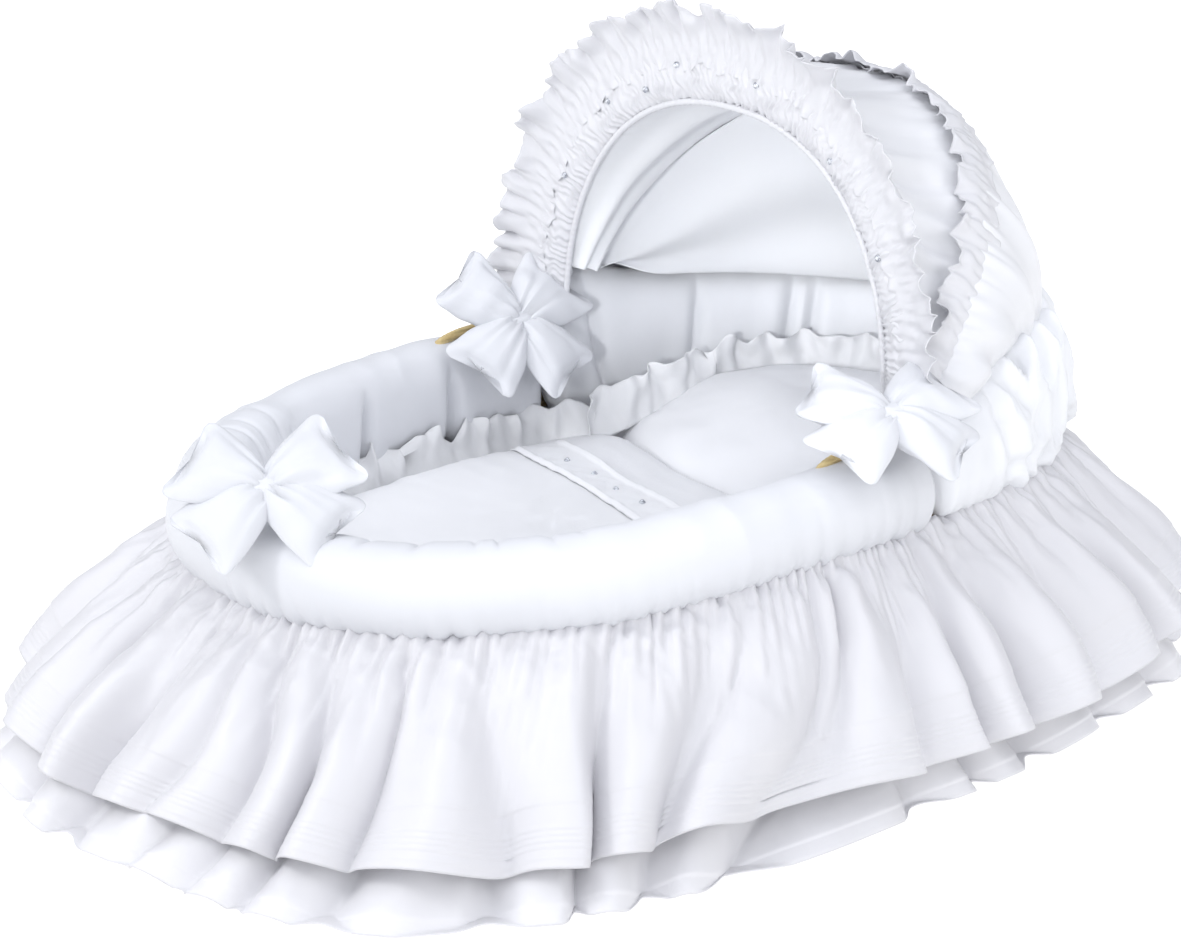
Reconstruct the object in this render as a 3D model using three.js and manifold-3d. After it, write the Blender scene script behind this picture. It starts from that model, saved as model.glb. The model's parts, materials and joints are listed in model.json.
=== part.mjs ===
// A dressed wicker baby basket with a folding hood.
// Millimetres, +Z up. +X points to the head, +Y to the baby's left side.
// The origin is the middle of the footprint, on the surface that the basket stands on.
import * as THREE from "three";
import { mergeVertices } from "three/addons/utils/BufferGeometryUtils.js";
import Module from "manifold-3d";

const wasm = await Module();
wasm.setup();

// ---------- driving dimensions ----------
const GAP = 0.4; // left between pieces that touch
const RIM_HALF_LENGTH = 420; // of the middle line of the padded rim
const RIM_HALF_WIDTH = 254;
const RIM_POWER = 2.25; // superellipse power: 2 is an ellipse, more is squarer
const RIM_TAPER = 0.1; // the foot is this share wider than the middle, the head narrower
const RIM_HEIGHT = 224;
const RIM_DROP = 16; // the rim is this much lower at both ends
const ROLL_RADIUS = 37;
const BORDER_RADIUS = 9;
const BASKET_X = 40; // middle of the basket, ahead of the middle of the skirt
const BASE_THICKNESS = 10;
const BASE_INSET = 52; // the wall leans in by this much at the base
const LEAN_START = 172; // and is upright above this height
const WALL_THICKNESS = 6;
const LINING_THICKNESS = 5;
const INSIDE_GAP = 3 * GAP + 1; // between the lining and the mattress
const MATTRESS_TOP = 96;
const COVERLET_TOP = 168;
const PILLOW_TOP = 208;
const HINGE_X = 90; // hood hinge, from the middle of the basket
const HINGE_Z = 275;
const FRONT_LEAN = 2; // degrees back from upright, hood open
const REAR_LEAN = 40;
const HOOP_RADIUS = 4;
const HOOP_POWER = 2.25;
const SEAM_Z = 188; // where the skirt is sewn under the roll
const UPPER_HEM_Z = 44;
const STEPS = 44; // round a closed loop

// ---------- materials ----------
const fabric = (color) => new THREE.MeshStandardMaterial({ color, roughness: 0.6, metalness: 0 });
const satin = fabric(0xeef0f6);
const padded = fabric(0xe6ebf2);
const organza = fabric(0xf4f6fb);
const lining = fabric(0xe2e6ef);
const foam = fabric(0xf2f0e8);
const wicker = new THREE.MeshStandardMaterial({ color: 0xc9a86a, roughness: 0.7, metalness: 0 });
const steel = new THREE.MeshStandardMaterial({ color: 0xb9bcc0, roughness: 0.35, metalness: 1 });

const cradle = new THREE.Group();
const basket = new THREE.Group(); // everything is drawn about the middle of the basket
basket.position.x = BASKET_X;
cradle.add(basket);

function piece(name, geometry, material, parent = basket) {
  const mesh = new THREE.Mesh(geometry, material);
  mesh.name = name;
  parent.add(mesh);
  return mesh;
}

// ---------- shapes ----------
const signedPower = (value, power) => Math.sign(value) * Math.abs(value) ** power;
const mix = (a, b, t) => a + (b - a) * t;
const rad = THREE.MathUtils.degToRad;

// A closed outline in plan, as a function of the angle round it. Angle 0 is at the head.
function loop(halfLength, halfWidth, { power = RIM_POWER, taper = 0, x = 0 } = {}) {
  return (angle) => {
    const c = Math.cos(angle);
    const s = Math.sin(angle);
    return new THREE.Vector2(
      x + halfLength * signedPower(c, 2 / power),
      halfWidth * signedPower(s, 2 / power) * (1 - taper * c),
    );
  };
}

// The same outline moved out by a distance along its normal.
function offset(outline, distance) {
  const small = 0.01;
  return (angle) => {
    const tangent = outline(angle + small).sub(outline(angle - small)).normalize();
    return outline(angle).add(new THREE.Vector2(tangent.y, -tangent.x).multiplyScalar(distance));
  };
}

// A closed mesh, turned so that its faces point outwards.
function meshFrom(points, triangles) {
  let sixVolumes = 0;
  for (let i = 0; i < triangles.length; i += 3) {
    const [a, b, c] = triangles.slice(i, i + 3).map((index) => points[index]);
    sixVolumes += a.dot(b.clone().cross(c));
  }
  const index = sixVolumes < 0 ? [...triangles].reverse() : triangles;
  const geometry = new THREE.BufferGeometry();
  geometry.setAttribute("position", new THREE.Float32BufferAttribute(points.flatMap((p) => p.toArray()), 3));
  geometry.setIndex(index);
  return geometry;
}

// Joins sections of equal point count. A closed sweep runs back to its first section;
// an open one gets a flat cap at each end, made from the section's own plane outline.
function sweep(sections, closed, capOutline) {
  const count = sections[0].length;
  const triangles = [];
  const spans = closed ? sections.length : sections.length - 1;
  for (let i = 0; i < spans; i++) {
    const a = i * count;
    const b = ((i + 1) % sections.length) * count;
    for (let j = 0; j < count; j++) {
      const k = (j + 1) % count;
      triangles.push(a + j, b + j, b + k, a + j, b + k, a + k);
    }
  }
  if (!closed) {
    const last = (sections.length - 1) * count;
    const cap = THREE.ShapeUtils.triangulateShape(capOutline, []);
    const clockwise = THREE.ShapeUtils.isClockWise(capOutline);
    for (const corners of cap) {
      const [p, q, r] = clockwise ? corners.reverse() : corners;
      triangles.push(p, q, r);
      triangles.push(last + p, last + r, last + q);
    }
  }
  return meshFrom(sections.flat(), triangles);
}

const angles = (from, to, count) => Array.from({ length: count + 1 }, (_, i) => mix(from, to, i / count));

// A ring round the basket. profile(angle) gives [outline, z] pairs that run round the section.
function ring(profile, from = 0, to = 2 * Math.PI, count = STEPS) {
  const closed = to - from > 2 * Math.PI - 1e-6;
  const at = angles(from, to, count).slice(0, closed ? -1 : undefined);
  const sections = at.map((angle) =>
    profile(angle).map(([outline, z]) => {
      const p = outline(angle);
      return new THREE.Vector3(p.x, p.y, z);
    }),
  );
  const flat = profile(at[0]).map(([outline, z]) => {
    const out = outline(at[0]).sub(rim(at[0]));
    return new THREE.Vector2(Math.sign(out.dot(offset(rim, 1)(at[0]).sub(rim(at[0])))) * out.length(), z);
  });
  return sweep(sections, closed, flat);
}

// A solid made of outlines stacked upwards, closed at the bottom and top.
function stack(levels, count = STEPS) {
  const at = angles(0, 2 * Math.PI, count).slice(0, -1);
  const points = levels.flatMap(([outline, z]) =>
    at.map((angle) => {
      const p = outline(angle);
      return new THREE.Vector3(p.x, p.y, z);
    }),
  );
  const triangles = [];
  for (let i = 0; i + 1 < levels.length; i++)
    for (let j = 0; j < count; j++) {
      const k = (j + 1) % count;
      const a = i * count;
      const b = a + count;
      triangles.push(a + j, a + k, b + k, a + j, b + k, b + j);
    }
  const ends = [levels[0], levels.at(-1)].map(([outline, z]) => {
    const middle = outline(0).add(outline(Math.PI)).multiplyScalar(0.5);
    return points.push(new THREE.Vector3(middle.x, middle.y, z)) - 1;
  });
  const top = (levels.length - 1) * count;
  for (let j = 0; j < count; j++) {
    const k = (j + 1) % count;
    triangles.push(ends[0], k, j);
    triangles.push(ends[1], top + j, top + k);
  }
  return meshFrom(points, triangles);
}

function tube(points, radius, sides = 8, steps = 40) {
  const shape = new THREE.Shape();
  shape.absarc(0, 0, radius, 0, 2 * Math.PI);
  const path = new THREE.CatmullRomCurve3(points);
  const options = { steps, curveSegments: sides / 2, extrudePath: path };
  return new THREE.ExtrudeGeometry(shape, options);
}

function extrude(outline, depth) {
  return new THREE.ExtrudeGeometry(new THREE.Shape(outline), { depth, bevelEnabled: false });
}

// ---------- joining and cutting ----------
function solid(geometry) {
  const bare = geometry.clone();
  for (const name of Object.keys(bare.attributes)) if (name !== "position") bare.deleteAttribute(name);
  const merged = mergeVertices(bare, 1e-3);
  return new wasm.Manifold(
    new wasm.Mesh({
      numProp: 3,
      vertProperties: merged.attributes.position.array,
      triVerts: new Uint32Array(merged.index.array),
    }),
  );
}

function geometryOf(manifold) {
  const mesh = manifold.getMesh();
  const geometry = new THREE.BufferGeometry();
  geometry.setAttribute("position", new THREE.BufferAttribute(mesh.vertProperties, 3));
  geometry.setIndex(new THREE.BufferAttribute(mesh.triVerts, 1));
  return geometry;
}

const join = (...parts) => geometryOf(parts.map(solid).reduce((a, b) => a.add(b)));
const cut = (whole, ...tools) => geometryOf(tools.map(solid).reduce((a, b) => a.subtract(b), solid(whole)));

// ---------- outlines of the basket ----------
const rim = loop(RIM_HALF_LENGTH, RIM_HALF_WIDTH, { taper: RIM_TAPER });
const rimZ = (angle) => RIM_HEIGHT - RIM_DROP * (rim(angle).x / RIM_HALF_LENGTH) ** 2;
const seam = offset(rim, 17);
const lowerSeam = offset(rim, 11);
const lowerHem = loop(562, 388, { power: 2.5, x: -BASKET_X });
const upperHem = loop(552, 400, { power: 2.5, x: 10 - BASKET_X });
const between = (a, b, t) => (angle) => a(angle).lerp(b(angle), t);
const wallAt = (z) => {
  const down = Math.max(0, (LEAN_START - z) / LEAN_START);
  return offset(rim, WALL_THICKNESS / 2 - BASE_INSET * down ** 1.3);
};

const ARCH_FOOT = rad(62); // the padding stops this far below the rim's middle line

// ---------- basket ----------
piece(
  "basket_base",
  stack([[offset(wallAt(0), -4), 0], [wallAt(0), 3], [wallAt(0), BASE_THICKNESS]]),
  wicker,
);

const WALL_LEVELS = [BASE_THICKNESS + GAP, 90, LEAN_START - 6];
const wallProfile = (inset, thickness, topLevels) => (angle) => {
  const heights = [...WALL_LEVELS, ...topLevels(angle)];
  const outside = heights.map((z) => [offset(wallAt(z), -inset), z]);
  const inside = heights.map((z) => [offset(wallAt(z), -inset - thickness), z]).reverse();
  return [...outside, ...inside];
};
const liningTop = (angle) => rimZ(angle) - ROLL_RADIUS * Math.sin(ARCH_FOOT) - 2;
const wallTops = (angle) => [liningTop(angle), rimZ(angle) - BORDER_RADIUS - GAP];
piece("basket_wall", ring(wallProfile(0, WALL_THICKNESS, wallTops)), wicker);
piece(
  "inner_lining",
  ring(wallProfile(WALL_THICKNESS + GAP, LINING_THICKNESS, (angle) => [liningTop(angle)])),
  lining,
);

// A full circle of [outline, z] pairs about the rim's middle line.
const round = (radius, sides) => (angle) =>
  Array.from({ length: sides }, (_, i) => {
    const a = (2 * Math.PI * i) / sides;
    return [offset(rim, radius * Math.cos(a)), rimZ(angle) + radius * Math.sin(a)];
  });
piece("rim_border", ring(round(BORDER_RADIUS, 6)), wicker);

// ---------- hood hinges ----------
const hingeAngle = Math.acos((HINGE_X / RIM_HALF_LENGTH) ** (RIM_POWER / 2));
const borderY = rim(hingeAngle).y;
const borderTop = rimZ(hingeAngle) + BORDER_RADIUS;
const PLATE = { thickness: 3, inner: borderY + 3, halfWidth: 12, foot: 26, above: 11 };
const PIN = { radius: 2.5, headRadius: 5, headThickness: 3, beyond: 2.5 };
const HOLE_MARGIN = 5; // the cutting rod of a hole runs this far past both faces
const EYELET = { radius: 8, thickness: 6, front: borderY - 4, rear: borderY - 14 };
const HEAD_FACE = EYELET.rear - HOOP_RADIUS - 1; // the rivet's inner head ends here
const SIDES = [
  ["left", 1],
  ["right", -1],
];

// A cylinder along Y, with its middle at the hinge axis.
function across(radius, from, to, side, sides = 12) {
  const rod = new THREE.CylinderGeometry(radius, radius, to - from, sides);
  return rod.translate(HINGE_X, 0, HINGE_Z).translate(0, side * (from + to) / 2, 0);
}

for (const [name, side] of SIDES) {
  const plateTop = HINGE_Z + PLATE.above;
  const height = plateTop - borderTop - GAP;
  const upright = new THREE.BoxGeometry(2 * PLATE.halfWidth, PLATE.thickness, height);
  upright.translate(HINGE_X, side * (PLATE.inner + PLATE.thickness / 2), plateTop - height / 2);
  const foot = new THREE.BoxGeometry(2 * PLATE.halfWidth, PLATE.foot, PLATE.thickness);
  const footY = PLATE.inner + PLATE.thickness - PLATE.foot / 2;
  foot.translate(HINGE_X, side * footY, borderTop + GAP + PLATE.thickness / 2);
  const outerFace = PLATE.inner + PLATE.thickness;
  const hole = across(PIN.radius + GAP, PLATE.inner - HOLE_MARGIN, outerFace + HOLE_MARGIN, side);
  piece(`hinge_bracket_${name}`, cut(join(upright, foot), hole), steel);
  const innerEnd = HEAD_FACE - PIN.headThickness;
  const outerEnd = outerFace + PIN.beyond;
  const rod = across(PIN.radius, innerEnd, outerEnd, side);
  const innerHead = across(PIN.headRadius, innerEnd, HEAD_FACE, side);
  const outerHead = across(PIN.headRadius, outerFace + GAP, outerEnd, side);
  piece(`hinge_pin_${name}`, join(rod, innerHead, outerHead), steel);
}

// ---------- carrying grips ----------
const GRIP = { from: -40, to: 62, radius: 4.5, top: 271.5, bend: 26 };
const SLIT = { length: 36, width: 15.3, height: 60, towardsMiddle: 11, lift: 28 };
const gripSlits = []; // a grip comes up through two of these in the roll
for (const [name, side] of SIDES) {
  const middleX = (GRIP.from + GRIP.to) / 2;
  const footZ = borderTop + 3;
  const legZ = borderTop + GRIP.radius + 14;
  const middleZ = GRIP.top - GRIP.radius;
  const y = side * (borderY + 2);
  const route = [
    [GRIP.from, footZ],
    [GRIP.from + 4, legZ],
    [GRIP.from + GRIP.bend, middleZ - 3],
    [middleX, middleZ],
    [GRIP.to - GRIP.bend, middleZ - 3],
    [GRIP.to - 4, legZ],
    [GRIP.to, footZ],
  ].map(([x, z]) => new THREE.Vector3(x, y, z));
  piece(`carry_grip_${name}`, tube(route, GRIP.radius, 6, 18), wicker);
  for (const x of [GRIP.from, GRIP.to]) {
    const slit = new THREE.BoxGeometry(SLIT.length, SLIT.width, SLIT.height);
    const slitX = x + SLIT.towardsMiddle * Math.sign(middleX - x);
    gripSlits.push(slit.translate(slitX, y, borderTop + SLIT.lift));
  }
}

// ---------- padded rim ----------
// An arch section over the border, open below so that it sits over the wall.
function padding(radius, rise, sides = 7) {
  const inner = BORDER_RADIUS + 1.5; // radius of the slot that the border lies in
  return (angle) => {
    const z = rimZ(angle);
    const lift = rise(rim(angle).x);
    const outerArc = angles(-ARCH_FOOT, Math.PI + ARCH_FOOT, sides).map((a) => {
      const up = Math.sin(a) > 0 ? Math.sin(a) * (radius + lift) : Math.sin(a) * radius;
      return [offset(rim, radius * Math.cos(a)), z + up];
    });
    const innerArc = angles(Math.PI, 0, 4).map((a) => [
      offset(rim, inner * Math.cos(a)),
      z + inner * Math.sin(a),
    ]);
    const slotFoot = z - radius * Math.sin(ARCH_FOOT);
    return [...outerArc, [offset(rim, -inner), slotFoot], ...innerArc, [offset(rim, inner), slotFoot]];
  };
}
const angleAtX = (x) => Math.acos(signedPower(x / RIM_HALF_LENGTH, RIM_POWER / 2));
const ROLL_END_X = 68; // the roll stops here on both sides, short of the hood's hinges
const rollStart = angleAtX(ROLL_END_X);
const roll = ring(padding(ROLL_RADIUS, () => 0), rollStart, 2 * Math.PI - rollStart, 36);
piece("bumper_roll", cut(roll, ...gripSlits), padded);

const BOLSTER = { radius: 38, rise: 48, startX: 108, riseFrom: 88, riseTo: 245 };
const bolsterRise = (x) => BOLSTER.rise * THREE.MathUtils.smoothstep(x, BOLSTER.riseFrom, BOLSTER.riseTo);
const bolsterStart = angleAtX(BOLSTER.startX);
piece("head_bolster", ring(padding(BOLSTER.radius, bolsterRise), -bolsterStart, bolsterStart, 24), padded);

// ---------- skirt ----------
const CLOTH = 3; // thickness of a gathered flounce
const TAPE = { below: 16, height: 10, thickness: 2 };
const seamZ = (angle) => SEAM_Z + rimZ(angle) - RIM_HEIGHT;

// A flared flounce from a seam outline down to a hem outline, bowed outwards a little.
function flounce(top, hem, topZ, hemZ, bow) {
  return (angle) => {
    const levels = [0, 0.4, 1].map((t) => {
      const z = mix(topZ(angle), hemZ, t);
      return [offset(between(top, hem, t), bow * Math.sin(Math.PI * t)), z];
    });
    const inside = levels.map(([outline, z]) => [offset(outline, -CLOTH), z]);
    return [...levels.reverse(), ...inside];
  };
}
piece("skirt_upper_tier", ring(flounce(seam, upperHem, (a) => seamZ(a) - 4, UPPER_HEM_Z, 10)), satin);
piece("skirt_lower_tier", ring(flounce(lowerSeam, lowerHem, (a) => seamZ(a) - 20, 0, 0)), satin);
piece(
  "seam_tape",
  ring((angle) => {
    const low = seamZ(angle) - TAPE.below;
    const high = low + TAPE.height;
    const face = offset(lowerSeam, TAPE.thickness);
    return [[lowerSeam, low], [face, low], [face, high], [lowerSeam, high]];
  }),
  satin,
);

// ---------- bedding ----------
const insideAt = (z) => offset(wallAt(z), -WALL_THICKNESS - LINING_THICKNESS - INSIDE_GAP);
piece(
  "mattress",
  stack([
    [offset(insideAt(20), -8), BASE_THICKNESS + GAP],
    [insideAt(20), 24],
    [insideAt(60), 80],
    [offset(insideAt(60), -10), MATTRESS_TOP],
  ]),
  foam,
);

const QUILT = { halfLength: 184, halfWidth: 178, x: -109 };
const quilt = loop(QUILT.halfLength, QUILT.halfWidth, { power: 2.9, taper: 0.12, x: QUILT.x });
const quiltBase = MATTRESS_TOP + GAP;
const BAND = { width: 44, length: 190, thickness: 4, skew: rad(-15), x: -22, y: 25, clearance: 1.5 };
piece(
  "coverlet",
  cut(
    stack([
      [offset(quilt, -22), quiltBase],
      [quilt, quiltBase + 24],
      [quilt, COVERLET_TOP - 28],
      [offset(quilt, -26), COVERLET_TOP - 6],
      [offset(quilt, -70), COVERLET_TOP],
    ]),
    quiltBand(BAND.clearance),
  ),
  padded,
);

// The satin band lies in a shallow groove across the quilt, a little askew as it was laid.
function quiltBand(clearance) {
  const width = BAND.width + 2 * clearance;
  const length = BAND.length + 2 * clearance;
  const strip = new THREE.BoxGeometry(width, length, BAND.thickness + clearance);
  return strip.rotateZ(BAND.skew).translate(BAND.x, BAND.y, COVERLET_TOP + 1 - clearance / 2);
}
piece("coverlet_band", quiltBand(0), satin);

const RUFFLE = { from: 1.5, width: 18, height: 36, slope: 8 };
const edgeStrip = (outline, bottom) => () => {
  const near = offset(outline, RUFFLE.from);
  const far = offset(outline, RUFFLE.width);
  const top = bottom + RUFFLE.height;
  return [[near, bottom], [far, bottom + RUFFLE.slope], [far, top], [near, top - RUFFLE.slope]];
};
piece("coverlet_ruffle", ring(edgeStrip(quilt, COVERLET_TOP - 30), rad(46), rad(262), 24), organza);

const PILLOW = { halfLength: 132, halfWidth: 140, x: 212 };
const pillow = loop(PILLOW.halfLength, PILLOW.halfWidth, { power: 2.4, taper: 0.26, x: PILLOW.x });
piece(
  "pillow",
  stack(
    [
      [offset(pillow, -30), quiltBase],
      [offset(pillow, -6), quiltBase + 30],
      [pillow, quiltBase + 52],
      [offset(pillow, -8), PILLOW_TOP - 26],
      [offset(pillow, -34), PILLOW_TOP - 7],
      [offset(pillow, -70), PILLOW_TOP],
    ],
    40,
  ),
  padded,
);
piece("pillow_ruffle", ring(edgeStrip(pillow, PILLOW_TOP - 32), rad(-128), rad(128), 26), organza);

// ---------- hood ----------
// A point on a hoop-shaped arch: turn runs from 0 on the left hinge side to PI on the right.
function archPoint(halfWidth, height, lean, turn, ahead = 0) {
  const y = halfWidth * signedPower(Math.cos(turn), 2 / HOOP_POWER);
  const up = height * signedPower(Math.sin(turn), 2 / HOOP_POWER);
  const s = Math.sin(rad(lean));
  const c = Math.cos(rad(lean));
  return new THREE.Vector3(HINGE_X + up * s - ahead * c, y, HINGE_Z + up * c + ahead * s);
}

const OPENING = { halfWidth: 206, height: 234 };
const FRONT_HOOP = { halfWidth: EYELET.front, height: 280 };
const REAR_HOOP = { halfWidth: EYELET.rear, height: 296 };
const FRONT_FRILL = { halfWidth: 292, height: 324 };

// Part of a hoop's face: an arch-shaped strip between two arches of the same lean.
function archStrip(inner, outer, lean, thickness, lowest, count = 20) {
  const start = Math.asin((lowest / outer.height) ** (HOOP_POWER / 2));
  const half = thickness / 2;
  const at = angles(start, Math.PI - start, count);
  const sections = at.map((turn) => [
    archPoint(inner.halfWidth, inner.height, lean, turn, -half),
    archPoint(inner.halfWidth, inner.height, lean, turn, half),
    archPoint(outer.halfWidth, outer.height, lean, turn, half),
    archPoint(outer.halfWidth, outer.height, lean, turn, -half),
  ]);
  const cap = [[0, 0], [0, 1], [1, 1], [1, 0]].map(([x, y]) => new THREE.Vector2(x, y));
  return sweep(sections, false, cap);
}

// A cane hoop with an eyelet at each foot.
function hoop({ halfWidth, height }, lean) {
  const points = angles(0, Math.PI, 28).map((turn) => archPoint(halfWidth, height, lean, turn));
  const body = tube(points, HOOP_RADIUS, 6, 30);
  const { radius, thickness } = EYELET;
  const rod = (rodRadius, beyond, side) =>
    across(rodRadius, halfWidth - thickness / 2 - beyond, halfWidth + thickness / 2 + beyond, side);
  const rims = SIDES.map(([, side]) => rod(radius, 0, side));
  const holes = SIDES.map(([, side]) => rod(PIN.radius + GAP, HOLE_MARGIN, side));
  return cut(join(body, ...rims), ...holes);
}

const grown = ({ halfWidth, height }, by) => ({ halfWidth: halfWidth + by, height: height + by });
piece("front_hoop", hoop(FRONT_HOOP, FRONT_LEAN), wicker);
piece("rear_hoop", hoop(REAR_HOOP, REAR_LEAN), wicker);

// how far above the hinge each piece of cloth starts
const FOOT = { band: 26, ruffle: 48, canopy: 62, lining: 70, back: 78 };
const HOOP_CASING = HOOP_RADIUS + 2;
const SKIN_THICKNESS = 3;
const belowHoop = grown(FRONT_HOOP, -HOOP_CASING);
piece("front_band", archStrip(OPENING, belowHoop, FRONT_LEAN, 6, FOOT.band), satin);
piece(
  "front_piping",
  archStrip(grown(OPENING, -5), grown(OPENING, -GAP), FRONT_LEAN, 4, FOOT.band),
  satin,
);
const aboveFront = grown(FRONT_HOOP, HOOP_CASING);
piece("front_ruffle", archStrip(aboveFront, FRONT_FRILL, FRONT_LEAN, 14, FOOT.ruffle), satin);
const aboveRear = grown(REAR_HOOP, HOOP_CASING);
piece("rear_ruffle", archStrip(aboveRear, grown(REAR_HOOP, 20), REAR_LEAN, 14, FOOT.ruffle), satin);

// A curved skin from one hoop's lean to another's, sagging between them.
function skin(front, rear, fromLean, toLean, sag, lowest, count = 22) {
  const rows = [0, 1 / 3, 2 / 3, 1];
  const start = Math.asin((lowest / rear.height) ** (HOOP_POWER / 2));
  const sections = angles(start, Math.PI - start, count).map((turn) => {
    const line = (inward) =>
      rows.map((t) => {
        const drop = sag * Math.sin(Math.PI * t) + inward;
        const width = mix(front.halfWidth, rear.halfWidth, t) - drop;
        const height = mix(front.height, rear.height, t) - drop;
        return archPoint(width, height, mix(fromLean, toLean, t), turn);
      });
    return [...line(0), ...line(SKIN_THICKNESS).reverse()];
  });
  const low = rows.map((t) => new THREE.Vector2(t, 0));
  const high = rows.map((t) => new THREE.Vector2(t, 1)).reverse();
  return sweep(sections, false, [...low, ...high]);
}

piece(
  "hood_canopy",
  skin(FRONT_HOOP, grown(REAR_HOOP, 2), FRONT_LEAN + 4, REAR_LEAN - 4, 5, FOOT.canopy),
  satin,
);
piece(
  "hood_lining",
  skin(grown(OPENING, 12), grown(REAR_HOOP, -22), FRONT_LEAN + 6, REAR_LEAN - 2, 12, FOOT.lining),
  lining,
);

// The back of the hood: from the rear hoop down to the top of the head bolster.
function hoodBack() {
  const hoopSide = grown(REAR_HOOP, -HOOP_RADIUS);
  const footAngle = angleAtX(176);
  const start = Math.asin((FOOT.back / hoopSide.height) ** (HOOP_POWER / 2));
  const turns = angles(start, Math.PI - start, 22);
  const foot = (turn, inward) => {
    const share = (turn - start) / (Math.PI - 2 * start);
    const angle = mix(footAngle, -footAngle, share);
    const p = offset(rim, 2 - inward)(angle);
    const z = rimZ(angle) + BOLSTER.radius + bolsterRise(p.x) + 3;
    return new THREE.Vector3(p.x, p.y, z);
  };
  const sections = turns.map((turn) => {
    const line = (inward) =>
      [0, 0.5, 1].map((t) => {
        const { halfWidth, height } = grown(hoopSide, -inward);
        const top = archPoint(halfWidth, height, REAR_LEAN + 3, turn);
        const bulge = 16 * Math.sin(Math.PI * t) * Math.sin(turn);
        return top.lerp(foot(turn, inward), t).add(new THREE.Vector3(bulge, 0, bulge / 2));
      });
    return [...line(0), ...line(SKIN_THICKNESS).reverse()];
  });
  const cap = [[0, 0], [1, 0], [2, 0], [2, 1], [1, 1], [0, 1]].map(([x, y]) => new THREE.Vector2(x, y));
  return sweep(sections, false, cap);
}
piece("hood_back", hoodBack(), satin);

// ---------- bows ----------
const BOW = { reach: 72, high: 34, plump: 13, lift: 18, waist: 7, knotRadius: 13, knotWidth: 20 };
const BOW_STEPS = 14;
const BOW_SIDES = 8;
const TAIL_THICKNESS = 12;

// Two padded loops in one strip, narrow at the knot.
function bowLoops() {
  const sections = angles(-1, 1, BOW_STEPS).map((t) => {
    const out = Math.abs(t);
    const swell = THREE.MathUtils.smoothstep(out, 0.12, 0.7);
    const close = Math.sqrt(Math.max(0.04, 1 - Math.max(0, (out - 0.72) / 0.29) ** 2));
    const high = mix(BOW.waist, BOW.high, swell) * close;
    const deep = mix(BOW.waist - 1, BOW.plump, swell) * close;
    const lift = BOW.lift * out ** 2;
    return Array.from({ length: BOW_SIDES }, (_, i) => {
      const a = (2 * Math.PI * i) / BOW_SIDES;
      return new THREE.Vector3(t * BOW.reach, lift + high * Math.cos(a), deep * Math.sin(a));
    });
  });
  const cap = sections[0].map((p) => new THREE.Vector2(p.y, p.z));
  return sweep(sections, false, cap);
}

// Two tails that spread below the knot.
function bowTails() {
  const half = [
    [9, -14],
    [46, -50],
    [30, -72],
    [16, -60],
  ];
  const mirrored = half.map(([x, y]) => [-x, y]).reverse();
  const outline = [...half, [0, -30], ...mirrored].map(([x, y]) => new THREE.Vector2(x, y));
  return extrude(outline, TAIL_THICKNESS).translate(0, 0, -TAIL_THICKNESS / 2);
}

function bowKnot() {
  const inner = BOW.waist + 1.5;
  const outer = BOW.knotRadius;
  const half = BOW.knotWidth / 2;
  const profile = [
    [inner, -half],
    [outer - 2, -half],
    [outer, -half + 3],
    [outer, half - 3],
    [outer - 2, half],
    [inner, half],
    [inner, -half],
  ].map(([x, y]) => new THREE.Vector2(x, y));
  return new THREE.LatheGeometry(profile, 12).rotateZ(Math.PI / 2);
}

// Each bow: its name, the place of its knot, the way it faces and the way its right loop points.
const bows = [
  ["foot", [-436, -18, 276], [-0.4, -0.42, 0.82], [0.8, -0.6, 0]],
  ["left", [30, 206, 276], [-0.1, -0.66, 0.74], [0.92, -0.3, -0.14]],
  ["right", [20, -276, 298], [-0.2, -0.5, 0.84], [0.88, -0.46, 0]],
];
for (const [name, place, facing, wing] of bows) {
  const front = new THREE.Vector3(...facing).normalize();
  const up = front.clone().cross(new THREE.Vector3(...wing)).normalize();
  const right = up.clone().cross(front);
  const bow = new THREE.Group();
  bow.applyMatrix4(new THREE.Matrix4().makeBasis(right, up, front).setPosition(...place));
  basket.add(bow);
  piece(`${name}_bow_loops`, bowLoops(), padded, bow);
  piece(`${name}_bow_tails`, bowTails(), padded, bow);
  piece(`${name}_bow_knot`, bowKnot(), padded, bow);
}

export default cradle;
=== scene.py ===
"""A dressed wicker baby basket: the cloth, padding, bows and finishes around the fixed frame.

Metres, +Z up. +X points to the head, +Y to the baby's left side.
"""

import json
import math

import bmesh
import bpy
import numpy as np
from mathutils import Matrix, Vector
from mathutils.bvhtree import BVHTree


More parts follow.
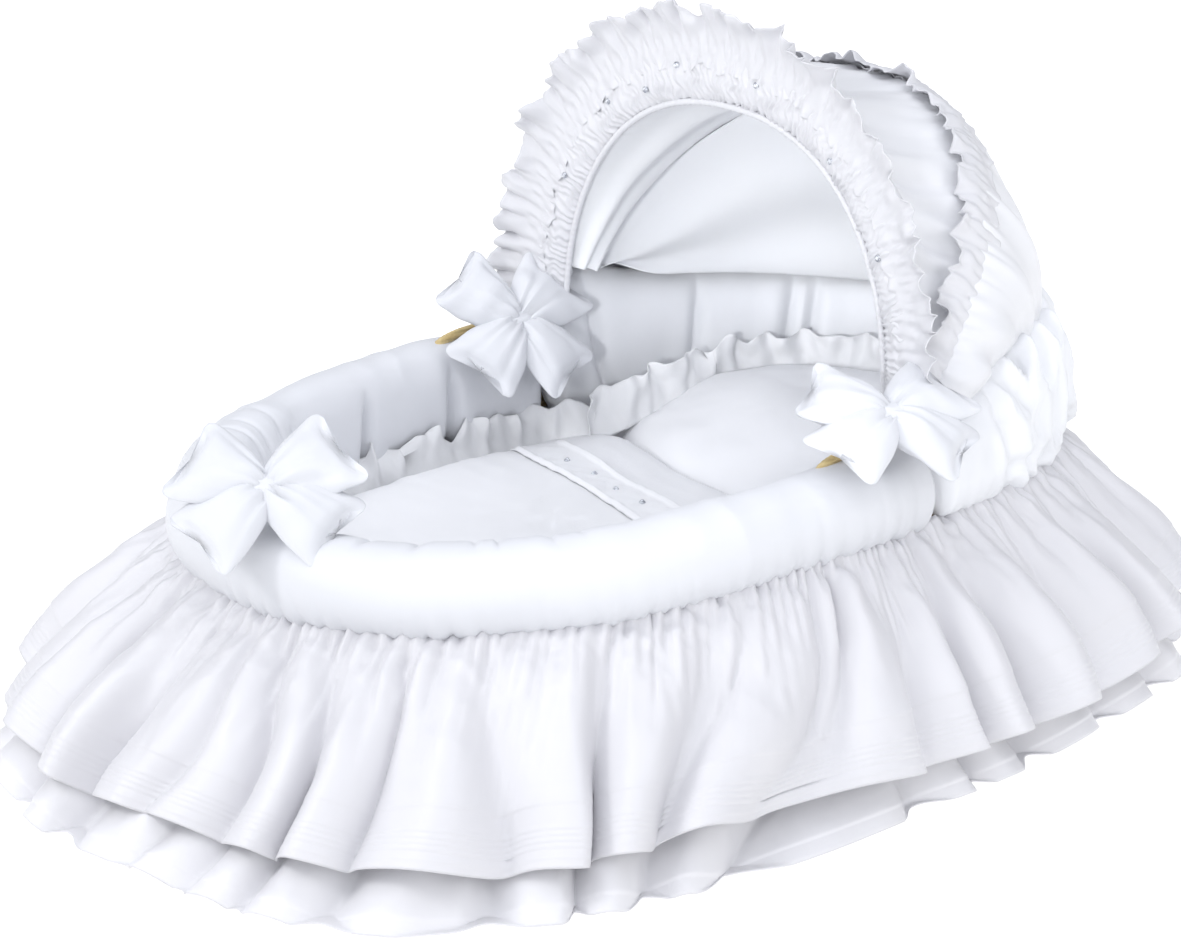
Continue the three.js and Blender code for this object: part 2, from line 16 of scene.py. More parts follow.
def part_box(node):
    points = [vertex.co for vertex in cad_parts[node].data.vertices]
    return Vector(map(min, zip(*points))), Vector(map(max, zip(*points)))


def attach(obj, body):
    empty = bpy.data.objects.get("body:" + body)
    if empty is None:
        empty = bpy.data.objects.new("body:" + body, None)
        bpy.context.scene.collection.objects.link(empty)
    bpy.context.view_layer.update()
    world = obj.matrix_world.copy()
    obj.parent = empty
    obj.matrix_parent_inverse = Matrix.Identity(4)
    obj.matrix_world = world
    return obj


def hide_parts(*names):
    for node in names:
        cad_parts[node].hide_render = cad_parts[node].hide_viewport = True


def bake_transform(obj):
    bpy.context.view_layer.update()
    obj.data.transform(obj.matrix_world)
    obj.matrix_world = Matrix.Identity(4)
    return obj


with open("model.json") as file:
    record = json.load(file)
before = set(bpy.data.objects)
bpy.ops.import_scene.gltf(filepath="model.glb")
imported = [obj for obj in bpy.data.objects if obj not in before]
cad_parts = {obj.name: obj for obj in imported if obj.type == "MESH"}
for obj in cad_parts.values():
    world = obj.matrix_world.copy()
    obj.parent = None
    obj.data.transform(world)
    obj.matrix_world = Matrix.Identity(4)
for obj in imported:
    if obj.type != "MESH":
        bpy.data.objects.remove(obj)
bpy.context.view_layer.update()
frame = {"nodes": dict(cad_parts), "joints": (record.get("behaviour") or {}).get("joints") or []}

# ---------- sizes, from the frame and the sewing pattern ----------
BORDER_RADIUS = 0.009
border_low, border_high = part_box("rim_border")
RIM_POWER = 2.25
RIM_TAPER = 0.1
RIM_X = (border_low.x + border_high.x) / 2
RIM_HALF_LENGTH = (border_high.x - border_low.x) / 2 - BORDER_RADIUS
RIM_HALF_WIDTH = 0.254
RIM_HEIGHT = border_high.z - BORDER_RADIUS * math.sin(math.radians(60))
RIM_DROP = 0.016
SEAM_Z = 0.188
LEAN_START = 0.172
BASE_INSET = 0.052
UPPER_HEM_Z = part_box("skirt_upper_tier")[0].z
MATTRESS_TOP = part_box("mattress")[1].z
COVERLET_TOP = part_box("coverlet")[1].z
PILLOW_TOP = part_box("pillow")[1].z
HINGE = Vector(frame["joints"][0]["pos_m"])
FRONT_LEAN = 2
REAR_LEAN = 40
HOOP_POWER = 2.25
CLOTH = 0.0012  # thickness of one layer as drawn
TURN = 2 * math.pi


# ---------- numbers ----------
def signed_power(value, power):
    return np.sign(value) * np.abs(value) ** power


def mix(a, b, share):
    return a + (b - a) * share


def smooth(value, low, high):
    share = np.clip((value - low) / (high - low), 0, 1)
    return share * share * (3 - 2 * share)


def bump(value, middle, width):
    return np.exp(-(((value - middle) / width) ** 2))


class Ripple:
    """Smooth seeded noise over any number of coordinates, made of plane waves. Mostly within -1..1."""

    def __init__(self, seed, *wavelengths, waves=16):
        rng = np.random.default_rng(seed)
        directions = rng.normal(size=(waves, len(wavelengths)))
        directions /= np.linalg.norm(directions, axis=1, keepdims=True)
        self.waves = TURN * directions * rng.uniform(0.6, 1.5, (waves, 1)) / np.array(wavelengths)
        self.shift = rng.uniform(0, TURN, waves)

    def __call__(self, *coordinates):
        points = np.stack(np.broadcast_arrays(*coordinates), -1)
        total = np.cos(points @ self.waves.T + self.shift).sum(-1)
        return 0.6 * total * math.sqrt(2 / len(self.shift))


class Pleats:
    """Uneven folds along a length. The phase grows by one turn from fold to fold, and each has a height."""

    def __init__(self, seed, length, spacing, spread=0.35, low=0.45):
        rng = np.random.default_rng(seed)
        count = max(3, round(length / spacing))
        widths = rng.uniform(1 - spread, 1 + spread, count)
        self.length = length
        self.edges = np.concatenate([[0], np.cumsum(widths)]) * length / widths.sum()
        heights = low + (1 - low) * rng.uniform(0, 1, count) ** 1.3
        heights *= np.minimum(1, (widths / widths.mean()) ** 1.2)  # narrow folds stay low
        leans = rng.uniform(-1, 1, count)
        self.heights = np.append(heights, heights[0])
        self.leans = np.append(leans, leans[0])

    def phase(self, along):
        laps, rest = np.divmod(along, self.length)
        return np.interp(rest, self.edges, np.arange(len(self.edges))) + laps * (len(self.edges) - 1)

    def wave(self, along):
        return np.cos(TURN * self.phase(along)) * self.height(along)

    def slide(self, along):
        """How far the cloth shifts along the length, so that the folds are round with narrow gaps."""
        return np.sin(TURN * self.phase(along)) * self.height(along)

    def height(self, along):
        return np.interp(np.mod(along, self.length), self.edges, self.heights)

    def lean(self, along):
        """Shifts the top of each fold to one side, so that it hangs over its neighbour."""
        lean = np.interp(np.mod(along, self.length), self.edges, self.leans)
        return lean * (0.5 + 0.5 * np.cos(TURN * self.phase(along))) ** 2 * self.height(along)


# ---------- outlines in plan ----------
class Outline:
    """A closed curve in plan, read by angle, which is 0 at the head. Its ends can differ in squareness."""

    def __init__(self, half_length, half_width, power, taper=0.0, x=0.0, foot_power=None):
        self.sizes = (half_length, half_width, power, taper, x)
        self.foot_power = foot_power or power

    def plain(self, angle):
        half_length, half_width, power, taper, x = self.sizes
        c, s = np.cos(angle), np.sin(angle)
        power = np.where(c > 0, power, self.foot_power)
        along = x + half_length * signed_power(c, 2 / power)
        return np.stack([along, half_width * signed_power(s, 2 / power) * (1 - taper * c)], -1)

    def normal(self, angle):
        tangent = self.plain(angle + 0.01) - self.plain(angle - 0.01)
        tangent /= np.linalg.norm(tangent, axis=-1, keepdims=True)
        return np.stack([tangent[..., 1], -tangent[..., 0]], -1)

    def __call__(self, angle, out=0.0):
        return self.plain(angle) + self.normal(angle) * np.asarray(out)[..., None]


def even(curve, count, start=0.0, end=TURN):
    """Values that cut a curve into equal lengths, and the length up to each."""
    fine = np.linspace(start, end, 3000)
    steps = np.linalg.norm(np.diff(curve(fine), axis=0), axis=1)
    run = np.concatenate([[0], np.cumsum(steps)])
    wanted = np.linspace(0, run[-1], count)
    return np.interp(wanted, run, fine), wanted


rim = Outline(RIM_HALF_LENGTH, RIM_HALF_WIDTH, RIM_POWER, RIM_TAPER, RIM_X)


def rim_z(angle):
    return RIM_HEIGHT - RIM_DROP * ((rim(angle)[..., 0] - RIM_X) / RIM_HALF_LENGTH) ** 2


def angle_at(x):
    return math.acos(float(signed_power((x - RIM_X) / RIM_HALF_LENGTH, RIM_POWER / 2)))


def wall_out(z):
    """How far the wicker wall's outer face lies outside the rim's middle line."""
    down = np.maximum(0, (LEAN_START - z) / LEAN_START)
    return 0.003 - BASE_INSET * down**1.3


def closed_curve(controls, count):
    """A smooth closed curve through a few points, in steps of equal length."""
    p = np.array(controls, float)
    share = np.linspace(0, len(p), 1200, endpoint=False)
    i = share.astype(int)
    t = (share - i)[:, None]
    a, b, c, d = (p[(i + k) % len(p)] for k in (-1, 0, 1, 2))
    fine = 0.5 * (2 * b + (c - a) * t + (2 * a - 5 * b + 4 * c - d) * t**2 + (3 * b - a - 3 * c + d) * t**3)
    fine = np.vstack([fine, fine[:1]])
    run = np.concatenate([[0], np.cumsum(np.linalg.norm(np.diff(fine, axis=0), axis=1))])
    wanted = np.linspace(0, run[-1], count, endpoint=False)
    return np.stack([np.interp(wanted, run, fine[:, k]) for k in (0, 1)], -1)


# ---------- meshes ----------
def normals(points, wrap):
    """Unit normals of a grid of points, rows by columns."""
    rows = np.gradient(points, axis=0)
    if wrap:
        longer = np.concatenate([points[:, -1:], points, points[:, :1]], axis=1)
        columns = np.gradient(longer, axis=1)[:, 1:-1]
    else:
        columns = np.gradient(points, axis=1)
    normal = np.cross(rows, columns)
    return normal / (np.linalg.norm(normal, axis=-1, keepdims=True) + 1e-12)


def grid_faces(rows, columns, wrap_rows, wrap_columns):
    index = np.arange(rows * columns).reshape(rows, columns)
    if wrap_rows:
        index = np.vstack([index, index[:1]])
    if wrap_columns:
        index = np.hstack([index, index[:, :1]])
    quads = np.stack([index[:-1, :-1], index[:-1, 1:], index[1:, 1:], index[1:, :-1]], -1)
    return index, quads.reshape(-1, 4)


def grid_uv(points, index):
    """Each quad's corners in metres of cloth, so that a weave keeps its scale."""
    flat = points.reshape(-1, 3)
    across = np.linalg.norm(flat[index[:, 1:]] - flat[index[:, :-1]], axis=-1).mean(0)
    down = np.linalg.norm(flat[index[1:]] - flat[index[:-1]], axis=-1).mean(1)
    u = np.concatenate([[0], np.cumsum(across)])
    v = np.concatenate([[0], np.cumsum(down)])
    uu, vv = np.meshgrid(u, v)
    uv = np.stack([uu, vv], -1)
    corners = [uv[:-1, :-1], uv[:-1, 1:], uv[1:, 1:], uv[1:, :-1]]
    return np.stack(corners, -2).reshape(-1, 2)


def grid_piece(name, points, material, wrap_rows=False, wrap_columns=False, fans=False, zips=False):
    """A mesh from a grid of points. Fans close its first and last columns; zips close a thin open sheet."""
    rows, columns = points.shape[:2]
    index, quads = grid_faces(rows, columns, wrap_rows, wrap_columns)
    vertices = points.reshape(-1, 3)
    faces = quads.tolist()
    if fans:
        for column in (0, columns - 1):
            vertices = np.vstack([vertices, points[:, column].mean(0)])
            ring = index[:, column].tolist()
            faces += [[a, b, len(vertices) - 1] for a, b in zip(ring[:-1], ring[1:])]
    if zips:
        for column in (0, columns - 1):
            ring = index[:rows, column].tolist()
            for i in range(rows // 2 - 1):
                faces.append([ring[i], ring[i + 1], ring[rows - 2 - i], ring[rows - 1 - i]])
    mesh = bpy.data.meshes.new(name)
    mesh.from_pydata(vertices.tolist(), [], faces)
    uv = mesh.uv_layers.new(name="cloth")
    coordinates = np.zeros((len(mesh.loops), 2), np.float32)
    quad_uv = grid_uv(points, index)
    coordinates[: len(quad_uv)] = quad_uv
    uv.data.foreach_set("uv", coordinates.ravel())
    tidy = bmesh.new()
    tidy.from_mesh(mesh)
    bmesh.ops.recalc_face_normals(tidy, faces=tidy.faces)
    tidy.to_mesh(mesh)
    tidy.free()
    mesh.polygons.foreach_set("use_smooth", np.ones(len(mesh.polygons), bool))
    piece = bpy.data.objects.new(name, mesh)
    bpy.context.scene.collection.objects.link(piece)
    mesh.materials.append(material)
    return piece


def cloth_piece(name, points, material, wrap=False, thickness=CLOTH):
    """A sheet with a front and a back, from a grid of points."""
    shift = normals(points, wrap) * thickness / 2
    both = np.concatenate([points + shift, (points - shift)[::-1]], axis=0)
    return grid_piece(name, both, material, wrap_rows=True, wrap_columns=wrap, zips=not wrap)


def join(name, pieces):
    """Several pieces as one mesh."""
    whole = bmesh.new()
    for piece in pieces:
        whole.from_mesh(piece.data)
    material = pieces[0].data.materials[0]
    mesh = bpy.data.meshes.new(name)
    whole.to_mesh(mesh)
    whole.free()
    for piece in pieces:
        bpy.data.objects.remove(piece)
    mesh.materials.append(material)
    joined = bpy.data.objects.new(name, mesh)
    bpy.context.scene.collection.objects.link(joined)
    return joined


def place(piece, body, slot, *nodes):
    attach(piece, body)
    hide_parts(*nodes)


# ---------- materials ----------
class Nodes:
    """A Principled material and short calls for the nodes that feed it."""

    def __init__(self, name, color, roughness, **sockets):
        self.material = bpy.data.materials.new(name)
        self.material.use_nodes = True
        self.tree = self.material.node_tree
        self.shader = self.tree.nodes["Principled BSDF"]
        self.shader.inputs["Base Color"].default_value = (*color, 1)
        self.shader.inputs["Roughness"].default_value = roughness
        for socket, value in sockets.items():
            self.shader.inputs[socket.replace("_", " ")].default_value = value
        self.heights = []

    def add(self, kind, links=(), **settings):
        node = self.tree.nodes.new(kind)
        for setting, value in settings.items():
            setattr(node, setting, value)
        for socket, value in links:
            if isinstance(value, bpy.types.NodeSocket):
                self.tree.links.new(value, node.inputs[socket])
            else:
                node.inputs[socket].default_value = value
        return node

    def coordinates(self, kind, scale=(1, 1, 1)):
        source = self.add("ShaderNodeTexCoord").outputs[kind]
        return self.add("ShaderNodeMapping", [("Vector", source), ("Scale", scale)]).outputs[0]

    def noise(self, vector, scale, detail=3.0, roughness=0.5):
        settings = [("Vector", vector), ("Scale", scale), ("Detail", detail), ("Roughness", roughness)]
        return self.add("ShaderNodeTexNoise", settings).outputs["Fac"]

    def threads(self, vector, scale, direction):
        settings = [("Vector", vector), ("Scale", scale), ("Distortion", 0.6), ("Detail", 1.0)]
        return self.add("ShaderNodeTexWave", settings, bands_direction=direction).outputs["Fac"]

    def spread(self, value, low, high):
        """Stretches the usual range of a noise, a quarter to three quarters, over low to high."""
        links = [("Value", value), ("From Min", 0.25), ("From Max", 0.75)]
        links += [("To Min", low), ("To Max", high)]
        return self.add("ShaderNodeMapRange", links).outputs[0]

    def tint(self, value, dark, light):
        node = self.add("ShaderNodeMix", data_type="RGBA")
        self.tree.links.new(value, node.inputs["Factor"])
        for socket, color in ((6, dark), (7, light)):  # the mix node's two colour sockets
            node.inputs[socket].default_value = (*color, 1)
        return node.outputs[2]

    def color(self, socket):
        self.tree.links.new(socket, self.shader.inputs["Base Color"])

    def roughness(self, socket):
        self.tree.links.new(socket, self.shader.inputs["Roughness"])

    def relief(self, height, distance, strength=1.0):
        """Adds a bump on top of those already there."""
        links = [("Height", height), ("Distance", distance), ("Strength", strength)]
        node = self.add("ShaderNodeBump", links)
        if self.heights:
            self.tree.links.new(self.heights[-1], node.inputs["Normal"])
        self.heights.append(node.outputs["Normal"])
        self.tree.links.new(node.outputs["Normal"], self.shader.inputs["Normal"])


SATIN_WEAVE = 0.00012  # heights of the threads, of slubs and of small wrinkles
SATIN_SLUB = 0.0003
SATIN_WRINKLE = 0.0006


def woven_satin(name, color, roughness, gloss=0.5, glow=0.0):
    """Satin: a fine weave, slubs along the thread, soft wrinkles and a sheen at grazing angles.

    gloss is the strength of its highlights and glow is how much light passes through it.
    """
    fabric = Nodes(
        name,
        color,
        roughness,
        Sheen_Weight=0.1,
        Sheen_Roughness=0.4,
        Specular_IOR_Level=gloss,
        Subsurface_Weight=glow,
        Subsurface_Radius=(1.0, 1.0, 1.0),
        Subsurface_Scale=0.0008,
    )
    cloth = fabric.coordinates("UV")
    solid = fabric.coordinates("Object")
    cloud = fabric.noise(solid, 9, 4)
    shade = tuple(channel * 0.985 for channel in color)
    fabric.color(fabric.tint(fabric.spread(cloud, 0, 1), shade, color))
    fabric.roughness(fabric.spread(fabric.noise(solid, 30, 3), roughness - 0.03, roughness + 0.05))
    long = fabric.coordinates("UV", (1, 0.06, 1))
    fabric.relief(fabric.noise(solid, 38, 3, 0.6), SATIN_WRINKLE, 0.5)
    fabric.relief(fabric.noise(long, 900, 2), SATIN_SLUB, 0.25)
    fabric.relief(fabric.threads(cloth, 520, "X"), SATIN_WEAVE, 0.5)
    fabric.relief(fabric.threads(cloth, 520, "Y"), SATIN_WEAVE, 0.5)
    return fabric.material


def sheer_organza(name, color, alpha):
    """Organza: a crisp open weave that lets some of the light through."""
    fabric = Nodes(name, color, 0.42, Sheen_Weight=0.35, Sheen_Roughness=0.35, Alpha=alpha)
    cloth = fabric.coordinates("UV")
    solid = fabric.coordinates("Object")
    cloud = fabric.noise(solid, 14, 3)
    shade = tuple(channel * 0.96 for channel in color)
    fabric.color(fabric.tint(fabric.spread(cloud, 0, 1), shade, color))
    fabric.relief(fabric.noise(solid, 70, 3), 0.0005, 0.5)
    fabric.relief(fabric.threads(cloth, 420, "X"), 0.0002, 0.6)
    fabric.relief(fabric.threads(cloth, 420, "Y"), 0.0002, 0.6)
    return fabric.material


def cane(name, light, dark, roughness=0.45):
    """Peeled cane: long grain, darker flecks and a satin varnish."""
    wood = Nodes(name, light, roughness, Coat_Weight=0.25, Coat_Roughness=0.3)
    solid = wood.coordinates("Object")
    grain = wood.noise(wood.coordinates("Object", (0.3, 1, 1)), 260, 4, 0.6)
    strands = wood.threads(solid, 60, "Z")
    wood.color(wood.tint(wood.spread(grain, 0, 1), dark, light))
    wood.roughness(wood.spread(grain, roughness - 0.08, roughness + 0.15))
    wood.relief(strands, 0.0016, 0.7)
    wood.relief(grain, 0.0004, 0.6)
    return wood.material


def nickel(name):
    metal = Nodes(name, (0.72, 0.72, 0.74), 0.28, Metallic=1.0)
    solid = metal.coordinates("Object", (1, 1, 0.08))
    brushed = metal.noise(solid, 900, 2)
    metal.roughness(metal.spread(brushed, 0.22, 0.38))
    metal.relief(brushed, 0.0001, 0.3)
    return metal.material


def cut_glass(name):
    gem = Nodes(name, (0.62, 0.64, 0.68), 0.06, Metallic=0.85, Coat_Weight=1.0)
    solid = gem.coordinates("Object")
    gem.color(gem.tint(gem.spread(gem.noise(solid, 420, 1), 0, 1), (0.30, 0.32, 0.36), (0.9, 0.92, 0.96)))
    return gem.material


def brushed_cotton(name, color):
    cotton = Nodes(name, color, 0.85, Sheen_Weight=0.3)
    solid = cotton.coordinates("Object")
    nap = cotton.noise(solid, 700, 4, 0.7)
    shade = tuple(channel * 0.93 for channel in color)
    cotton.color(cotton.tint(cotton.spread(nap, 0, 1), shade, color))
    cotton.relief(nap, 0.0004, 0.6)
    return cotton.material


# One white satin. Each part of the object has its own shade of it, set to match how bright that
# part looks under this light, so the shades aren't different cloths.
padded_satin = woven_satin("padded satin", (0.735, 0.745, 0.775), 0.40, gloss=0.3)
pouf_satin = woven_satin("head satin", (0.87, 0.88, 0.905), 0.40, gloss=0.4)
skirt_satin = woven_satin("skirt satin", (0.715, 0.71, 0.735), 0.335, gloss=1.0)
hood_satin = woven_satin("hood satin", (0.82, 0.825, 0.85), 0.34, gloss=0.7)
lower_satin = woven_satin("lower tier satin", (0.80, 0.795, 0.82), 0.36, gloss=0.8)
frill_satin = woven_satin("frill satin", (0.70, 0.70, 0.725), 0.40)
lining_satin = woven_satin("lining satin", (0.90, 0.91, 0.945), 0.48, glow=1.0)
quilt_satin = woven_satin("quilt satin", (0.80, 0.805, 0.825), 0.50)
organza = sheer_organza("organza", (0.95, 0.955, 0.97), 0.88)
wicker_cane = cane("wicker cane", (0.70, 0.55, 0.31), (0.48, 0.34, 0.16))
grip_cane = cane("grip cane", (0.74, 0.60, 0.30), (0.52, 0.37, 0.15))
hinge_nickel = nickel("hinge nickel")
gem_glass = cut_glass("gem glass")
mattress_cotton = brushed_cotton("mattress cotton", (0.86, 0.85, 0.81))

CAD_FINISHES = {
    "basket_base": wicker_cane,
    "basket_wall": wicker_cane,
    "rim_border": wicker_cane,
    "front_hoop": wicker_cane,
    "rear_hoop": wicker_cane,
    "hinge_bracket_left": hinge_nickel,
    "hinge_bracket_right": hinge_nickel,
    "hinge_pin_left": hinge_nickel,
    "hinge_pin_right": hinge_nickel,
}
for node, finish in CAD_FINISHES.items():
    piece = frame["nodes"][node]
    piece.data.materials.clear()
    piece.data.materials.append(finish)

# ---------- skirt ----------
TIER_COLUMNS = 1100
UPPER_HEM = Outline(0.552, 0.398, 2.55, x=0.010)
LOWER_HEM = Outline(0.562, 0.390, 2.75)


def tuck_profile(down, tucks):
    """Height of sewn tucks: each rises slowly down the skirt and drops at its lower edge."""
    height = np.zeros_like(down)
    for edge, width, depth in tucks:
        rise = np.clip((down - edge + width) / width, 0, 1)
        height += depth * rise * (1 - smooth(down, edge - 0.002, edge + 0.012))
    return height


def tier_rows(count, tucks):
    """Rows down the skirt, with extra ones at each tuck's edges."""
    sewn = []
    for edge, width, _ in tucks:
        sewn += [edge - width, edge - width / 2, edge - 0.002, edge + 0.003, edge + 0.008, edge + 0.013]
    sewn = np.unique(np.round(sewn, 5))
    plain = np.linspace(0, 1, count) ** 0.9
    apart = np.abs(plain[:, None] - sewn).min(1) > 0.003
    return np.sort(np.concatenate([plain[apart], sewn]))


def ridged(noise):
    """Turns smooth noise into sharp creases."""
    return 1 - 2.2 * np.abs(noise)


def skirt_tier(top_out, hem, top_drop, hem_z, bow, full, tucks, seed):
    """A gathered tier: fine gathers at the seam run into deep folds at the hem."""
    down = tier_rows(70, tucks)[:, None]
    angle, along = even(UPPER_HEM, TIER_COLUMNS + 1)
    angle, along = angle[:-1], along[:-1]
    length = along[-1] + along[1]
    seam_z = SEAM_Z + rim_z(angle) - RIM_HEIGHT - top_drop
    plan = mix(rim(angle, top_out), hem(angle), down[..., None])
    plan = plan + rim.normal(angle) * (bow * np.sin(math.pi * down))[..., None]
    base = np.concatenate([plan, mix(seam_z, hem_z, down)[..., None]], -1)
    x, y = base[..., 0], base[..., 1]
    outward = normals(base, True)
    sideways = np.cross(outward, np.gradient(base, axis=0))
    sideways /= np.linalg.norm(sideways, axis=-1, keepdims=True)

    folds = Pleats(17, length, 0.090, 0.55, 0.45)
    middles = Pleats(seed + 1, length, 0.044, 0.5, 0.1)
    gathers = Pleats(seed + 2, length, 0.0150, 0.45, 0.2)
    drift = 0.034 * Ripple(12, 0.35, 0.35, 1.6)(x, y, down) + 0.010 * Ripple(seed + 8, 0.3, 0.3)(x, y)
    drift = drift * down
    run = along + drift
    deep = full * smooth(down, -0.05, 0.80)
    middle_reach = 0.0075 * smooth(down, 0.0, 0.16) * (0.25 + np.exp(-((down / 0.55) ** 2)))
    reach = 0.08 + 0.20 * np.abs(Ripple(seed + 3, 0.05, 0.05)(x, y))
    gather = 0.0052 * np.exp(-down / reach)
    push = deep * folds.wave(run) + middle_reach * middles.wave(run + 0.2 * drift)
    push += gather * gathers.wave(along)
    push += 0.0016 * Ripple(seed + 4, 0.09, 0.09, 0.60)(x, y, down) * smooth(down, 0, 0.3)
    push += 0.0012 * ridged(Ripple(seed + 5, 0.040, 0.040, 3.0)(x, y, down)) * np.exp(-down / 0.45)
    push += 0.0020 * ridged(Ripple(seed + 7, 0.020, 0.020, 1.2)(x, y, down)) * np.exp(-down / 0.16)
    push += tuck_profile(down, tucks)
    slip = 0.36 * deep * folds.slide(run) + 0.3 * middle_reach * middles.slide(run)
    slip += 0.8 * deep * folds.lean(run) + 0.6 * middle_reach * middles.lean(run)
    points = base + outward * push[..., None] + sideways * slip[..., None]
    sway = 0.007 * Ripple(seed + 6, 0.30, 0.30)(x, y) - 0.06 * deep * folds.wave(run)
    points[..., 2] += sway * down**2
    points[..., 2] = np.maximum(points[..., 2], 0.0012)
    return points


def make_skirt():
    pintucks = [(0.725, 0.07, 0.0008)] + [(0.830 + 0.026 * i, 0.020, 0.0008) for i in range(4)]
    pintucks.append((0.955, 0.035, 0.0006))
    upper = skirt_tier(0.022, UPPER_HEM, -0.007, UPPER_HEM_Z, 0.012, 0.033, pintucks, 40)
    lower = skirt_tier(0.011, LOWER_HEM, 0.020, 0.0, 0.0, 0.024, [(0.93, 0.05, 0.0010)], 60)
    top = cloth_piece("skirt_upper", upper, skirt_satin, wrap=True)
    bottom = cloth_piece("skirt_lower", lower, lower_satin, wrap=True)
    place(top, "basket", "skirt_satin", "skirt_upper_tier")
    place(bottom, "basket", "skirt_satin", "skirt_lower_tier")


def make_seam_binding():
    """The folded tape that holds the gathers against the wall."""
    angle, along = even(lambda a: rim(a, 0.013), 601)
    angle, along = angle[:-1], along[:-1]
    low = SEAM_Z + rim_z(angle) - RIM_HEIGHT - 0.016
    section = closed_curve([(0.0108, 0), (0.0135, 0.0005), (0.0135, 0.0098), (0.0108, 0.0102)], 20)
    stitches = 0.0003 * np.cos(TURN * along / 0.004)
    out, up = section[:, 0, None] + stitches, section[:, 1, None]
    plan = rim(np.broadcast_to(angle, out.shape), out)
    points = np.concatenate([plan, (low + up)[..., None]], -1)
    tape = grid_piece("seam_binding", points, skirt_satin, wrap_rows=True, wrap_columns=True)
    place(tape, "basket", "skirt_satin", "seam_tape")


# ---------- padded rim ----------
ROLL_END_X = HINGE.x - 0.012


def section_normals(section):
    ahead = np.roll(section, -1, axis=0) - np.roll(section, 1, axis=0)
    normal = np.stack([ahead[:, 1], -ahead[:, 0]], -1)
    normal /= np.linalg.norm(normal, axis=1, keepdims=True)
    middle = section.mean(0)
    outward = ((section - middle) * normal).sum() > 0
    return normal if outward else -normal


def channel_valleys(along, up, places, width, lean_seed):
    """Sewn channels: a valley at each place, leaning a little."""
    lean = np.random.default_rng(lean_seed).uniform(-0.35, 0.35, len(places))
    depth = np.zeros(np.broadcast(along, up).shape)
    for middle, slope in zip(places, lean):
        away = along - middle - slope * up
        depth = np.maximum(depth, np.exp(-np.abs(away / width) ** 1.4))
    return depth


def padded_ring(section, normal, angle, along, push, rise=0.0, pinch=0.018):
    """A pad that follows the rim. Its ends are drawn in like a cushion's."""
    out = section[:, 0, None] + normal[:, 0, None] * push
    up = section[:, 1, None] + normal[:, 1, None] * push
    up = np.where(up > 0, up * (1 + np.asarray(rise) / 0.038), up)
    ends = np.minimum(along, along[-1] - along) / pinch
    share = np.sqrt(1 - (1 - np.clip(ends, 0.03, 1)) ** 2)
    centre_out, centre_up = out.mean(0), up.mean(0)
    out = mix(centre_out, out, share)
    up = mix(centre_up, up, share)
    plan = rim(np.broadcast_to(angle, out.shape), out)
    return np.concatenate([plan, (rim_z(angle) + up)[..., None]], -1)


ROLL_SECTION = [
    (0.013, -0.034),
    (0.024, -0.036),
    (0.034, -0.024),
    (0.039, -0.006),
    (0.036, 0.014),
    (0.024, 0.030),
    (0.002, 0.037),
    (-0.019, 0.032),
    (-0.031, 0.016),
    (-0.035, -0.006),
    (-0.037, -0.028),
    (-0.035, -0.046),
    (-0.026, -0.054),
    (-0.016, -0.048),
    (-0.013, -0.014),
    (0.000, 0.013),
    (0.012, -0.010),
]


def make_roll():
    end = angle_at(ROLL_END_X)
    angle, along = even(rim, 640, end, TURN - end)
    section = closed_curve(ROLL_SECTION, 84)
    normal = section_normals(section)
    out, up = section[:, 0, None], section[:, 1, None]
    plan = rim(angle)
    x, y = plan[:, 0], plan[:, 1]
    outside = smooth(out, -0.004, 0.012)
    inside = smooth(-out, 0.004, 0.022)
    top = smooth(up, 0.0, 0.03)

    gathers = Pleats(5, along[-1], 0.021, 0.45, 0.2)
    near_seam = np.exp(-np.maximum(up + 0.034, 0) / 0.018)
    push = -0.0048 * near_seam * outside * (0.5 - 0.5 * gathers.wave(along + 0.1 * up)) ** 2
    tight = Pleats(6, along[-1], 0.009, 0.4, 0.2)
    push += 0.0012 * tight.wave(along) * np.exp(-np.maximum(up + 0.034, 0) / 0.008) * outside

    rng = np.random.default_rng(21)
    places = np.cumsum(rng.uniform(0.085, 0.125, 24))
    places = places[places < along[-1] - 0.03]
    valley = channel_valleys(along, up, places, 0.0055, 22)
    fade = smooth(-up, -0.026, 0.010) * inside
    push -= 0.0110 * valley * fade
    push += 0.0030 * (1 - valley) * fade

    round_end = smooth(-(x - RIM_X), 0.22, 0.34)
    creases = np.abs(np.sin(math.pi * Pleats(23, along[-1], 0.034, 0.5).phase(along + 0.35 * up)))
    push -= 0.0045 * (1 - creases) ** 3 * round_end * smooth(-out, -0.02, 0.012) * smooth(up, -0.02, 0.02)
    push += 0.0016 * Ripple(24, 0.16, 0.16, 0.10)(x, y, up)
    push += 0.0006 * ridged(Ripple(25, 0.075, 0.075, 0.06)(x, y, up)) * (0.5 + 0.5 * top)
    points = padded_ring(section, normal, angle, along, push)
    roll = grid_piece("roll_cover", points, padded_satin, wrap_rows=True, fans=True)
    place(roll, "basket", "padded_satin", "bumper_roll")


HEAD_SECTION = [
    (0.014, -0.034),
    (0.030, -0.030),
    (0.038, -0.010),
    (0.037, 0.010),
    (0.031, 0.025),
    (0.018, 0.035),
    (0.000, 0.038),
    (-0.018, 0.034),
    (-0.029, 0.024),
    (-0.033, 0.008),
    (-0.035, -0.012),
    (-0.036, -0.032),
    (-0.032, -0.048),
    (-0.024, -0.054),
    (-0.016, -0.046),
    (-0.013, -0.014),
    (0.000, 0.013),
    (0.012, -0.010),
]


HEAD_RISE = 0.044


def head_rise(x):
    """How far the outside of the head end rises above the rim roll."""
    return HEAD_RISE * smooth(x, 0.128, 0.285)


